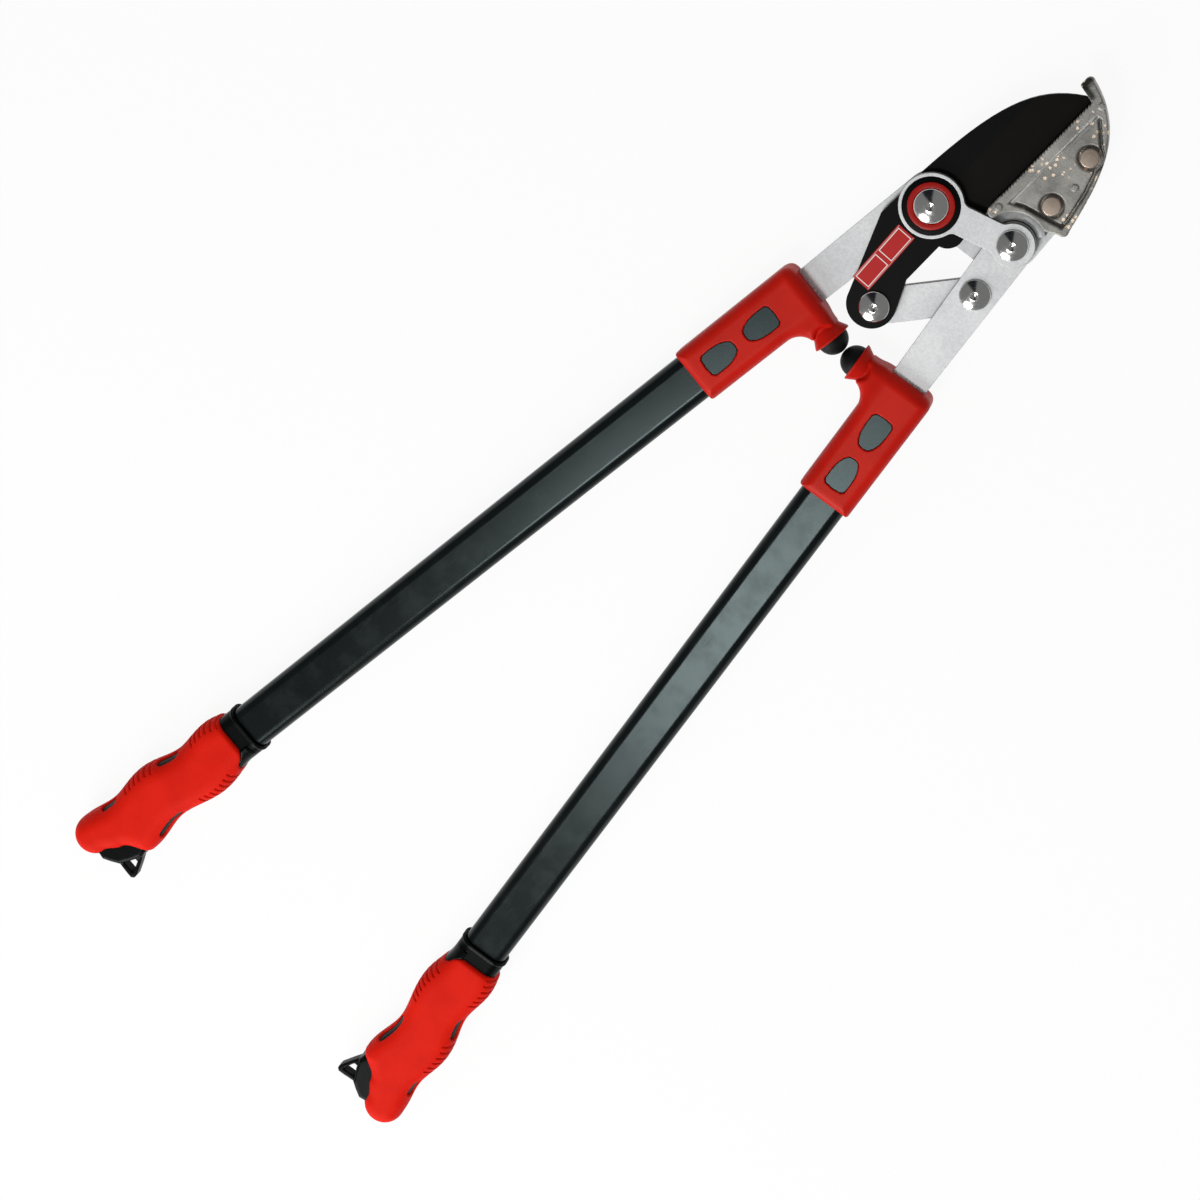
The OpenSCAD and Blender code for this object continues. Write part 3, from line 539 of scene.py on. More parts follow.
def spun(profile, closed=False):
    """Solid turned round the Z axis from pairs of radius and height, outside on the right."""
    points, rings, faces = [], [], []
    turns = 2 * np.pi * np.arange(SPUN_SEGMENTS) / SPUN_SEGMENTS
    for r, z in profile:
        if r < 1e-6:
            rings.append([len(points)] * SPUN_SEGMENTS)
            points.append((0, 0, z))
        else:
            first = len(points)
            rings.append([first + k for k in range(SPUN_SEGMENTS)])
            points += [(r * np.cos(t), r * np.sin(t), z) for t in turns]
    pairs = list(zip(rings, rings[1:])) + ([(rings[-1], rings[0])] if closed else [])
    for low, high in pairs:
        for k in range(SPUN_SEGMENTS):
            n = (k + 1) % SPUN_SEGMENTS
            face = [low[k], low[n], high[n], high[k]]
            face = [v for i, v in enumerate(face) if v not in face[:i]]
            if len(face) > 2:
                faces.append(face)
    return mesh_of(points, faces)


def ring(inner, outer, low, high, r):
    """Flat ring with its edges rounded by r."""
    profile = eased([(inner, low), (outer, low), (outer, high), (inner, high)], r, closed=True)
    return spun(profile, closed=True)


def slab(points, low, high, r):
    """Flat piece with rounded edges from an outline in plan, counter-clockwise."""
    points = [np.array(p, float) for p in points]
    rings = [
        (low, r), (low + 0.35 * r, 0.28 * r), (low + r, 0),
        (high - r, 0), (high - 0.35 * r, 0.28 * r), (high, r),
    ]
    count = len(points)
    verts, faces = [], []
    for z, inset in rings:
        for i, p in enumerate(points):
            before, after = p - points[i - 1], points[(i + 1) % count] - p
            normal = np.array([before[1] + after[1], -before[0] - after[0]])
            q = p - inset * normal / np.linalg.norm(normal)
            verts.append((q[0], q[1], z))
    last = (len(rings) - 1) * count
    for a in range(0, last, count):
        b = a + count
        for i in range(count):
            j = (i + 1) % count
            faces.append((a + i, a + j, b + j, b + i))
    faces += [tuple(range(count))[::-1], tuple(range(last, last + count))]
    return mesh_of(verts, faces)


def surface(field, low, high, step):
    """Closed mesh of a distance field's zero surface, its points drawn onto that surface."""
    low = np.array(low, float)
    shape = np.ceil((np.array(high, float) - low) / step).astype(int) + 1
    axes = [low[i] + step * np.arange(shape[i]) for i in range(3)]
    values = field(axes[0][:, None, None], axes[1][None, :, None], axes[2][None, None, :])
    values = np.broadcast_to(values, shape)
    total, count = np.zeros((shape.prod(), 3)), np.zeros(shape.prod())
    quads = []
    for axis in range(3):
        first = np.take(values, range(shape[axis] - 1), axis)
        second = np.take(values, range(1, shape[axis]), axis)
        index = np.argwhere((first < 0) != (second < 0))
        a, b = first[tuple(index.T)], second[tuple(index.T)]
        point = index.astype(float)
        point[:, axis] += a / (a - b)
        u, w = (axis + 1) % 3, (axis + 2) % 3
        around = []
        for du, dw in ((0, 0), (-1, 0), (-1, -1), (0, -1)):
            cell = index.copy()
            cell[:, u] += du
            cell[:, w] += dw
            flat = np.ravel_multi_index(cell.T, shape)
            for k in range(3):
                total[:, k] += np.bincount(flat, point[:, k], len(count))
            count += np.bincount(flat, minlength=len(count))
            around.append(flat)
        quad = np.stack(around, 1)
        quad[a > 0] = quad[a > 0][:, ::-1]
        quads.append(quad)
    used = np.flatnonzero(count)
    points = low + step * total[used] / count[used][:, None]
    number = np.full(len(count), -1)
    number[used] = np.arange(len(used))

    def height(p):
        return np.broadcast_to(field(p[:, 0], p[:, 1], p[:, 2]), len(p))

    small = step / 8
    for _ in range(SETTLE_ROUNDS):
        value = height(points)
        slope = np.stack([
            (height(points + small * unit) - height(points - small * unit)) / (2 * small)
            for unit in np.eye(3)
        ], 1)
        move = value[:, None] * slope / np.maximum((slope ** 2).sum(1), 0.05)[:, None]
        length = np.linalg.norm(move, axis=1)[:, None]
        points = points - move * np.minimum(1, 0.5 * step / np.maximum(length, 1e-9))
    return mesh_of(points, number[np.concatenate(quads)])


# Distance fields, negative inside

def smooth_max(a, b, k):
    h = np.maximum(k - np.abs(a - b), 0) / k
    return np.maximum(a, b) + h * h * k / 4


def smooth_min(a, b, k):
    return -smooth_max(-a, -b, k)


def rounded_rect(x, z, width, depth, r):
    """Distance to a rectangle with round corners."""
    qx, qz = np.abs(x) - (width / 2 - r), np.abs(z) - (depth / 2 - r)
    outside = np.hypot(np.maximum(qx, 0), np.maximum(qz, 0))
    return outside + np.minimum(np.maximum(qx, qz), 0) - r


def outline(x, y, points):
    """Distance to a closed outline."""
    x, y = np.broadcast_arrays(x, y)
    best = np.full(x.shape, 1e9)
    inside = np.zeros(x.shape, bool)
    count = len(points)
    for i in range(count):
        ax, ay = points[i]
        bx, by = points[(i + 1) % count]
        ex, ey = bx - ax, by - ay
        t = np.clip(((x - ax) * ex + (y - ay) * ey) / (ex * ex + ey * ey + 1e-12), 0, 1)
        best = np.minimum(best, (x - ax - t * ex) ** 2 + (y - ay - t * ey) ** 2)
        if ay != by:
            crosses = (y < ay) != (y < by)
            inside ^= crosses & (x < ax + (y - ay) / ey * ex)
    return np.where(inside, -1, 1) * np.sqrt(best)


def thick(plan, height, r, power=2.0):
    """Distance to a plan of some height, with edges rounded by r, squarer with more power."""
    a, b = np.maximum(plan + r, 0), np.maximum(height + r, 0)
    outside = (a ** power + b ** power) ** (1 / power)
    return outside + np.minimum(np.maximum(plan + r, height + r), 0) - r


# Head: flat steel

FLAT_STEEL = {
    "left_bar": "left_lever", "front_side_plate": "left_lever",
    "cross_link": "cross_link", "right_bar": "right_lever",
}
HERE = Matrix()
for node, body in FLAT_STEEL.items():
    plate = softened(node, 0.35)
    piece(node + "_plate", plate, HERE, body, node, PLATED, 60, True)
blade = softened("blade", 0.12, 25)
piece("blade_body", blade, HERE, "blade", "blade", COATED, 60, True)
panel = softened("blade_label", 0.06)
piece("blade_panel", panel, HERE, "blade", "blade_label", LABEL, 60, True)


# Head: rivets, bolt and rings

DIMPLE = 5
BACK_HEAD = 3
RIVET_SHANK, RIVET_HEAD, RIVET_BACK = 4, 18.2, 8.2
BOLT_SHANK, BOLT_HEAD, BOLT_END = 5, 20, -12.5
BORE = 5.05


def dome_profile(d, h, base):
    """Low domed head on a straight rim, with a dimple, from its rim to the axis."""
    steepest = math.radians(38)
    half = d / 2
    cap = half / math.sin(steepest)
    middle, top = base + h - cap, base + h + DIMPLE / 4
    rim = middle + cap * math.cos(steepest)

    def dome(r):
        return middle + math.sqrt(cap ** 2 - r * r)

    def bowl(r):
        return top - math.sqrt(max(DIMPLE ** 2 / 4 - r * r, 0))

    lip = next(r for r in np.arange(0.5, half, 0.02) if dome(r) <= bowl(r))
    flank = [
        (half - 0.12, base), (half, base + 0.12), (half, rim - 0.3), (half - 0.08, rim - 0.08),
    ]
    outside = [(r, dome(r)) for r in np.linspace(half - 0.3, lip + 0.25, 24)]
    inside = [(r, bowl(r)) for r in np.linspace(lip - 0.2, 0, 9)]
    return [*flank, *outside, *inside]


def back_head_profile(r):
    """Flat head behind the bar, from the axis to its rim."""
    end = BAR_BACK - BACK_HEAD
    corners = [(0, end), (r, end), (r, BAR_BACK), (r - 1, BAR_BACK)]
    return eased(corners, [0, 1.0, 0.25, 0])[:-1]


def pivot_rivet(front):
    shank = [(RIVET_SHANK, BAR_BACK), (RIVET_SHANK, front)]
    return spun([*back_head_profile(RIVET_BACK), *shank, *dome_profile(RIVET_HEAD, 4.2, front)])


def main_bolt():
    start = (0, BOLT_END)
    corners = [start, (BOLT_SHANK, BOLT_END), (BOLT_SHANK, BUSH_TOP), (9, BUSH_TOP)]
    shank = eased(corners, [0, 0.8, 0, 0])[1:-1]
    return spun([start, *shank, *dome_profile(BOLT_HEAD, 5, BUSH_TOP)])


def polish_and_highlight(name, pin):
    return turned(name, tuple(pin), (0.80, 0.80, 0.79), rough=0.15, rings=9, depth=0.0006)


def dull_steel(name, pin):
    return turned(name, tuple(pin), (0.60, 0.60, 0.60), rough=0.32, rings=9, depth=0.01)


for name, body, pin, front in (
    ("lever_pivot_rivet", "left_lever", LEVER_PIN, PLATE_TOP),
    ("tail_rivet", "blade", TAIL_PIN, BLADE_TOP),
    ("link_rivet", "right_lever", LINK_PIN, PLATE_BACK),
):
    bright = polish_and_highlight(name + "_steel", pin)
    piece(name + "_head", pivot_rivet(front), at(pin), body, name, bright, 50)

BOLT_STEEL = polish_and_highlight("bolt_steel", MAIN_PIN)
piece(
    "main_bolt", main_bolt(), at(MAIN_PIN), "left_lever", "main_pivot_bolt",
    BOLT_STEEL, 50,
)

WASHER_STEEL = dull_steel("washer_steel", MAIN_PIN)
TAIL_WASHER_STEEL = dull_steel("tail_washer_steel", TAIL_PIN)
BUSH = ring(BORE, 16.5, PLATE_BACK, BUSH_TOP, 0.3)
TRIM = ring(10.1, 13.5, BUSH_TOP, TRIM_TOP, 0.55)
LOW_WASHER = ring(BORE, 13.5, 0, WASHER, 0.1)
HIGH_WASHER = ring(BORE, 13.5, BLADE_TOP, PLATE_BACK, 0.1)
for name, mesh, node, slot, finish, angle in (
    ("bush_ring", BUSH, "pivot_bush", "black_plastic", BLACK_PLASTIC, CREASE),
    ("trim_ring", TRIM, "pivot_trim_ring", "red_trim", RED_TRIM, 60),
    ("blade_washer_low", LOW_WASHER, "blade_washers", "bright_steel", WASHER_STEEL, CREASE),
    ("blade_washer_high", HIGH_WASHER, "blade_washers", "bright_steel", WASHER_STEEL, CREASE),
):
    piece(name, mesh, at(MAIN_PIN), "left_lever", node, finish, angle)
TAIL_WASHER = ring(4.05, 9.1, 0, WASHER, 0.1)
piece(
    "tail_spacer", TAIL_WASHER, at(TAIL_PIN), "blade", "tail_washer",
    TAIL_WASHER_STEEL,
)


def lock_nut():
    """Hexagon nut with chamfered corners and a round collar at its end."""
    end, low, high = -13.5, 2.2, 8.5
    flats = 19.6 / 2 * math.cos(math.pi / 6)
    collar_r, collar_top = 7.6, 3
    slant = 1.6

    def field(x, y, z):
        turns = [math.radians(30 + 60 * k) for k in range(6)]
        sides = [x * math.cos(t) + y * math.sin(t) - flats for t in turns]
        radius = np.hypot(x, y)
        up = z - end
        body = smooth_max(np.maximum.reduce(sides), np.maximum(-up + low, up - high), 0.3)
        low_cut = radius + (low - up) * slant - 8.7
        high_cut = radius + (up - high) * slant - 9.3
        body = smooth_max(body, np.maximum(low_cut, high_cut) * 0.53, 0.4)
        collar = smooth_max(radius - collar_r, np.maximum(-up, up - collar_top), 1.0)
        return smooth_max(smooth_min(body, collar, 0.5), BORE - radius, 0.5)

    return surface(field, (-10.6, -10.6, -14.4), (10.6, 10.6, -4.2), 0.4)


NUT_STEEL = turned("nut_steel", MAIN_PIN, (0.66, 0.66, 0.65), rough=0.30, rings=4, depth=0.01)
piece(
    "lock_nut", lock_nut(), at(MAIN_PIN), "left_lever", "main_pivot_nut",
    NUT_STEEL, 50,
)


# Head: cast anvil and its rivets

def jaw(shares):
    """Places in shares of the jaw's length."""
    return JAW * np.array(shares)


ANVIL_RIVETS = jaw([[0.430, 0.767], [0.466, 0.446]])
ANVIL_SHANK, SEAT_FLOOR = 3, 6.6
TEETH_START, TEETH_END, TOOTH_PITCH, TOOTH_DEPTH = 0.295 * JAW, 0.975 * JAW, 2.2, 1.1
POCKET = jaw([
    [0.288, 0.296], [0.302, 0.952], [0.328, 0.950], [0.450, 0.843], [0.517, 0.716],
    [0.551, 0.617], [0.589, 0.444], [0.588, 0.398], [0.467, 0.365], [0.361, 0.336],
])


def bezier(a, b, c, d, steps):
    t = np.linspace(0, 1, steps + 1)[:, None]
    a, b, c, d = (np.array(p) for p in (a, b, c, d))
    return a * (1 - t) ** 3 + 3 * b * t * (1 - t) ** 2 + 3 * c * t * t * (1 - t) + d * t ** 3


def cast_anvil():
    """Hooked jaw with a toothed lip, the blade's groove, a pocket in a moat, and small nubs."""
    groove_floor = BLADE_EDGE + 0.3
    lip = groove_floor - 1.5
    nose_r, corner_r, horn_r, horn_back = 3.8, 3.2, 2.76, 2.8
    nose, corner, horn = np.array([lip + nose_r, 0.213 * JAW]), jaw([0.605, 0.393]), jaw([0.151, 1.043])
    rounds = ((nose, nose_r), (corner, corner_r), (horn, horn_r))
    back = jaw([[0.632, 0.402], [0.561, 0.697], [0.494, 0.987]])
    plan = [
        nose + [0, -nose_r], corner + [0, -corner_r], corner,
        *bezier(*back, horn + [0, horn_r], 24),
        horn - [horn_back, 0], horn - [horn_back, JAW / 10], (lip, TEETH_END), (lip, nose[1]),
    ]
    lever_eye = 12.6 + 6.2
    teeth_low = 3.5
    groove_middle, groove_half = 2.5, 1
    moat_floor, moat_start = 4.8, 0.318 * JAW
    nub_r = 1.9
    nubs = [
        (*(nose + [0, nose_r]), ANVIL_TOP), (*jaw([0.485, 0.601]), POCKET_FLOOR),
        (*jaw([0.283, 1.004]), ANVIL_TOP),
    ]

    def field(x, y, z):
        whole = outline(x, y, plan)
        for middle, r in rounds:
            whole = np.minimum(whole, np.hypot(x - middle[0], y - middle[1]) - r)
        jaw_side = smooth_max(whole, lip - x, 0.5)
        hook = smooth_max(whole, HOOK_RADIUS - np.hypot(x, y), 0.8)
        shape = np.minimum(jaw_side, hook)
        eye = lever_eye - np.hypot(x - LEVER_PIN[0], y - LEVER_PIN[1])
        shape = smooth_max(shape, eye, 0.8)
        body = thick(shape, np.abs(z - ANVIL_TOP / 2) - ANVIL_TOP / 2, 0.9)

        crest = np.abs(((y - TEETH_START) / TOOTH_PITCH) % 1 - 0.5) * 2
        toothed = (y > TEETH_START) & (y < TEETH_END)
        teeth = np.where(toothed, lip + TOOTH_DEPTH * (1 - crest) - x, -1)
        body = smooth_max(body, np.minimum(0.6 * teeth, z - teeth_low), 0.25)
        groove = np.maximum(x - groove_floor, np.abs(z - groove_middle) - groove_half)
        body = smooth_max(body, -np.maximum(groove, y - JAW), 0.2)

        bulge = np.hypot(x - ANVIL_RIVETS[0][0], y - ANVIL_RIVETS[0][1]) - 8.2
        sunk = smooth_min(outline(x, y, POCKET), bulge, 1.2)
        pocket = np.maximum(sunk + 0.25 * (ANVIL_TOP - z), POCKET_FLOOR - z)
        body = smooth_max(body, -pocket, 0.5)
        moat = np.abs(sunk + 0.75) - 1.0 + 0.12 * (POCKET_FLOOR - z)
        moat = np.maximum(np.maximum(moat, moat_start - x), moat_floor - z)
        body = smooth_max(body, -moat, 0.6)
        horn_chamfer = 0.845 * (z - ANVIL_TOP) - 0.52 * (x - 16.6) + 0.12 * (y - 104)
        body = smooth_max(body, horn_chamfer, 0.5)

        for nx, ny, nz in nubs:
            nub = np.maximum(np.hypot(x - nx, y - ny) - nub_r, np.abs(z - nz) - 0.4)
            body = smooth_min(body, nub, 0.3)
        for rx, ry in ANVIL_RIVETS:
            reach = np.hypot(x - rx, y - ry)
            seat = reach - 7.4 + 0.7 * np.maximum(POCKET_FLOOR - z, 0)
            body = smooth_max(body, -np.maximum(seat, SEAT_FLOOR - z), 0.5)
            body = np.maximum(body, ANVIL_SHANK + 0.05 - reach)
        return body

    return surface(field, (12, 16, -0.8), (68, 112, 10.8), 0.42)


def anvil_rivet():
    """Flat head sunk in its seat, with a low back head."""
    head_r, head_top = 5.5, 9.3
    corners = [
        (ANVIL_SHANK, SEAT_FLOOR), (head_r, SEAT_FLOOR), (head_r, head_top - 0.4),
        (head_r - 0.4, head_top), (0, head_top - 0.05),
    ]
    head = eased(corners, [0, 0.1, 0.4, 0.3, 0])
    return spun([*back_head_profile(6.4), (ANVIL_SHANK, BAR_BACK), *head])


def bar_shoulder():
    """Shoulder of the left bar, a crescent between the lever pivot's eye and the anvil."""
    turns = np.radians(np.linspace(58, 168, 28))
    ways = [np.array([math.cos(t), math.sin(t)]) for t in turns]
    inner = [LEVER_PIN + 13.4 * way for way in ways[::-1]]
    outer = [LEVER_PIN + 18.5 * way for way in ways]
    return slab([*outer, *inner], -4.9, 3.6, 0.3)


piece("cast_anvil", cast_anvil(), at(MAIN_PIN), "left_lever", "anvil", DIE_CAST, 60)
BRONZE = (0.40, 0.325, 0.265)
for number, pin in enumerate(ANVIL_RIVETS, 1):
    name = f"anvil_rivet_{number}"
    steel = turned(name + "_steel", tuple(pin), BRONZE, rough=0.36, rings=3.2, depth=0.008)
    piece(name, anvil_rivet(), at(pin), "left_lever", "anvil_rivets", steel, 50)
piece(
    "left_bar_shoulder", bar_shoulder(), at(MAIN_PIN), "left_lever", "left_bar",
    PLATED, 60,
)


# Handles, in the frame of the left one: +X to the other handle, +Y to the head

TUBE_WIDTH, TUBE_DEPTH, TUBE_CORNER, TUBE_WALL, TUBE_FIT = 30, 18, 6.6, 1.5, 0.2
TUBE_FRONT, TUBE_BACK = -20, -582
BAR_THICK = 5
SOCKET_HALF, SOCKET_BACK, SOCKET_DEPTH = 17.5, -88, 13.42
ARM_Y, CUP_FACE = -9.5, 32.94
BUMPER_X, BUMPER_R, BUMPER_STEM = 32.84, 9.4, 4
PAD_PLACES, PAD_LOW, PAD_TOP = (-34.6, -65), 11.5, 13.0
PAD_SIDE = [
    (0, 11.1), (-5.2, 10.6), (-7.0, 8.7), (-7.2, 3.0), (-6.7, -3.2), (-5.2, -7.6), (-3.2, -10.4),
    (0, -11.1),
]
PAD_OUTLINE = [*PAD_SIDE, *[(-w, t) for w, t in PAD_SIDE[-2:0:-1]]]


def pad_outline(index, clear=0.0):
    """Shield with its blunt end outward, from the middle between the two pads."""
    way = 1 if index == 0 else -1
    grow = 1 + clear / 7
    points = [(w * grow, PAD_PLACES[index] + way * t * grow) for w, t in PAD_OUTLINE]
    return points if way == 1 else points[::-1]


def tube_bore(x, z):
    width, depth = TUBE_WIDTH + TUBE_FIT, TUBE_DEPTH + TUBE_FIT
    return rounded_rect(x, z, width, depth, TUBE_CORNER)


def socket(bar_low):
    """Moulded socket with its arm, cup, pad pockets, tube bore and bar slot."""
    arm_end, arm_back, arm_front = 34, -18.1, -0.9
    sweep = np.linspace(0.1, math.pi / 2, 12)
    plan = [(-SOCKET_HALF, SOCKET_BACK), (SOCKET_HALF, SOCKET_BACK), (SOCKET_HALF, -31)]
    plan += [(SOCKET_HALF + 11.5 * (1 - math.cos(a)), -30 + 11.9 * math.sin(a)) for a in sweep]
    plan += [(arm_end, arm_back), (arm_end, arm_front), (22, arm_front), (17, 0), (-SOCKET_HALF, 0)]
    corners = [2.0, 2.0, *[0] * 13, 0, 0, 3, 3, 7.5]
    plan = eased(plan, corners, closed=True, steps=8)
    arm_start, arm_run, arm_drop = 10, 14, 2.6
    dish_x, dish_z, dish_r = 31.6, 13, 9.6
    neck_r, cup_flare = 7.9, 3.9

    def field(x, y, z):
        t = np.clip((x - arm_start) / arm_run, 0, 1)
        half = SOCKET_DEPTH - arm_drop * t * t * (3 - 2 * t)
        body = thick(outline(x, y, plan), np.abs(z) - half, 7.6, 2.2)
        body = smooth_max(body, SOCKET_BACK - y, 1.6)
        body = smooth_max(body, x - 26.5, 1.0)
        across = np.hypot(y - ARM_Y, z)
        dish = dish_r - np.sqrt((x - dish_x) ** 2 + (y - ARM_Y) ** 2 + (np.abs(z) - dish_z) ** 2)
        body = smooth_max(body, dish, 1.5)
        cup = across - (neck_r + cup_flare * np.clip((x - 25) / 7, 0, 1))
        cup = smooth_max(cup * 0.87, np.maximum(20 - x, x - CUP_FACE), 0.5)
        body = smooth_min(body, cup, 1.0)
        hollow = np.maximum(across - BUMPER_R - 0.1, 29.4 - x)
        stem = np.maximum(across - BUMPER_STEM - 0.1, 23.3 - x)
        body = smooth_max(body, -np.minimum(hollow, stem), 0.5)
        bore = np.maximum(tube_bore(x, z), y - TUBE_FRONT)
        bar = rounded_rect(x - 1.2, z - bar_low - BAR_THICK / 2, 22.7, BAR_THICK + 0.2, 0.4)
        slot = np.maximum(bar, TUBE_FRONT - 1 - y)
        body = smooth_max(body, -np.minimum(bore, slot), 0.4)
        for i, place in enumerate(PAD_PLACES):
            pad = np.maximum(outline(x, y, pad_outline(i, 0.25)), PAD_LOW - np.abs(z))
            access = np.maximum(np.hypot(x, y - place) - 5, 8 - np.abs(z))
            body = smooth_max(body, -np.minimum(pad, access), 0.35)
        return body

    return surface(field, (-19, -90, -15), (35.5, 4, 15), 0.56)


def pads():
    """Both inlays on both faces."""
    made = []
    for i in range(len(PAD_PLACES)):
        points = eased(pad_outline(i), 0.7, closed=True, steps=3)
        area = sum(a[0] * b[1] - b[0] * a[1] for a, b in zip(points, points[1:] + points[:1]))
        points = points if area > 0 else points[::-1]
        for low, high in ((PAD_LOW, PAD_TOP), (-PAD_TOP, -PAD_LOW)):
            made.append(slab(points, low, high, 0.35))
    return joined(made)


def bumper():
    """Rubber ball end with a stem that plugs into the cup."""
    stem_end, seat = 23.44, 29.44
    turns = np.linspace(0, math.pi / 2, 28)
    ball = [(BUMPER_R * math.cos(a), BUMPER_X + BUMPER_R * math.sin(a)) for a in turns]
    corners = [
        (0, stem_end), (BUMPER_STEM, stem_end), (BUMPER_STEM, seat), (BUMPER_R, seat),
        (BUMPER_R, 31.2),
    ]
    profile = eased(corners, [0, 0.5, 0, 0.5, 0])
    mesh = spun([*profile, *ball[:-1], (0, BUMPER_X + BUMPER_R)])
    mesh.transform(Matrix.Translation((0, ARM_Y, 0)) @ Matrix.Rotation(math.pi / 2, 4, "Y"))
    return mesh


def rounded_loop(width, depth, r):
    """Points round a rectangle with round corners."""
    points = []
    for k, (sx, sz) in enumerate(((1, 1), (-1, 1), (-1, -1), (1, -1))):
        x, z = sx * (width / 2 - r), sz * (depth / 2 - r)
        for a in np.linspace(0, math.pi / 2, 11):
            turn = a + k * math.pi / 2
            points.append((x + r * math.cos(turn), z + r * math.sin(turn)))
    return points


def tube():
    """Oval tube with a real wall, from inside the socket to inside the grip."""
    outer = rounded_loop(TUBE_WIDTH, TUBE_DEPTH, TUBE_CORNER)
    inner = rounded_loop(
        TUBE_WIDTH - 2 * TUBE_WALL, TUBE_DEPTH - 2 * TUBE_WALL, TUBE_CORNER - TUBE_WALL,
    )
    stations = [TUBE_FRONT, *np.linspace(-80, -480, 21), TUBE_BACK]
    verts, faces, count = [], [], len(outer)
    for loop in (outer, inner):
        for y in stations:
            verts += [(x, y, z) for x, z in loop]
    half = len(stations) * count
    last = half - count
    for a in range(0, last, count):
        b = a + count
        for i in range(count):
            j = (i + 1) % count
            faces.append((a + i, a + j, b + j, b + i))
            faces.append((half + b + i, half + b + j, half + a + j, half + a + i))
    for i in range(count):
        j = (i + 1) % count
        faces.append((half + i, half + j, j, i))
        faces.append((last + i, last + j, half + last + j, half + last + i))
    return mesh_of(verts, faces)


# Grips, measured back from the collar's front as the solids have it

GRIP_FRONT, GRIP_LEN, GRIP_HALF, GRIP_DEPTH = -478, 158, 24, 13.42
END_X, END_Y, END_R = -8.6, 144, 14
COLLAR_FRONT, COLLAR_BACK = -2.1, 10.0
TAB_HALF, SHOULDER_HALF = 4, 8.5
WINDOW_Z, WINDOW_HALF = 6, 3.6

# Pairs of a share of the grip's length and a share of its half width
OUTER_WAVE = [
    (0.025, 0.750), (0.158, 0.883), (0.322, 0.763), (0.538, 1.0), (0.734, 0.825), (0.899, 0.936),
    (0.912, 0.942),
]
INNER_WAVE = [
    (0.025, 0.710), (0.065, 0.715), (0.278, 0.942), (0.513, 0.746), (0.734, 1.0), (0.829, 0.450),
    (0.912, 0.225),
]

# Side, first and last share of the grip's length, and for ribs their count
RIB_GROUPS = [(1, 0.175, 0.354, 7), (-1, 0.070, 0.217, 6), (-1, 0.459, 0.617, 6)]
WINDOWS = [(-1, 0.314, 0.434), (-1, 0.690, 0.790), (1, 0.478, 0.651)]


def wave(pairs, share):
    """Smooth wave through pairs of place and value."""
    for (a, low), (b, high) in zip(pairs, pairs[1:]):
        if share <= b:
            t = min(1, max(0, (share - a) / (b - a)))
            return low + (high - low) * (1 - math.cos(math.pi * t)) / 2
    return pairs[-1][1]


def grip_plan():
    shares = np.linspace(-0.02, END_Y / GRIP_LEN, 60)
    inner = [(GRIP_HALF * wave(INNER_WAVE, s), GRIP_FRONT - s * GRIP_LEN) for s in shares]
    outer = [(-GRIP_HALF * wave(OUTER_WAVE, s), GRIP_FRONT - s * GRIP_LEN) for s in shares]
    turns = np.linspace(0, -math.pi, 18)[1:-1]
    middle = GRIP_FRONT - END_Y
    end = [(END_X + END_R * math.cos(a), middle + END_R * math.sin(a)) for a in turns]
    return [*inner, *end, *outer[::-1]]


def grip_points(pairs):
    return [(b * GRIP_HALF, GRIP_FRONT - a * GRIP_LEN) for a, b in pairs]


TAB = grip_points([
    (0.674, 0.300), (0.785, 0.900), (0.834, 1.090), (0.888, 1.280), (0.906, 1.300), (0.918, 1.235),
    (0.918, 1.042), (0.915, 0.742), (0.915, 0.538), (0.953, 0.304), (0.937, -0.400),
    (0.674, -0.400),
])
SHOULDER = grip_points([
    (0.706, 0.300), (0.760, 0.900), (0.790, 0.960), (0.842, 0.870), (0.900, 0.740), (0.926, 0.540),
    (0.950, 0.320), (0.937, -0.300), (0.706, -0.300),
])
EYE_CENTRE = (0.938 * GRIP_HALF, GRIP_FRONT - 0.866 * GRIP_LEN)
EYE = [
    (EYE_CENTRE[0] + a, EYE_CENTRE[1] + b)
    for a, b in ((-5, -4.5), (5, -4.5), (5, -3), (1.25, 4.5), (-1.25, 4.5), (-5, -3))
]
TONGUE = [
    (w, GRIP_FRONT - s)
    for w, s in (
        (7.6, 4), (7.8, 10), (9.4, 11.2), (12.0, 14.2), (14.4, 18.8), (16.2, 20.8), (24, 21),
        (24, 4),
    )
]


def sleeve_field(x, y, z, clear):
    """Distance to the core's sleeve round the tube and its plug behind it."""
    back = GRIP_FRONT - y
    body = rounded_rect(x, z, 32.8 + 2 * clear, 20.8 + 2 * clear, 8)
    body = np.maximum(body, np.maximum(3 - back, back - 119))
    plug = rounded_rect(x - END_X, z, 14 + 2 * clear, 16 + 2 * clear, 6.6)
    return np.minimum(body, np.maximum(plug, np.maximum(117 - back, back - END_Y)))


def grip_form(x, y, z, inset):
    """Distance to the grip's whole outer form, and to its plan."""
    shape = outline(x, y, grip_plan()) + 0.14
    return thick(shape, np.abs(z) - GRIP_DEPTH, 13.2, 2.5) + inset, shape


def window_field(x, back, z, clear):
    """Distance to the slits high in the cover's sides."""
    made = 1e3
    for side, first, last in WINDOWS:
        middle, reach = (first + last) / 2 * GRIP_LEN, (last - first) / 2 * GRIP_LEN
        along = np.maximum(np.abs(back - middle) - reach + 3.5, 0)
        slit = np.hypot(along, z - WINDOW_Z) - WINDOW_HALF - clear
        made = np.minimum(made, np.maximum(slit, 4 - side * x))
    return made


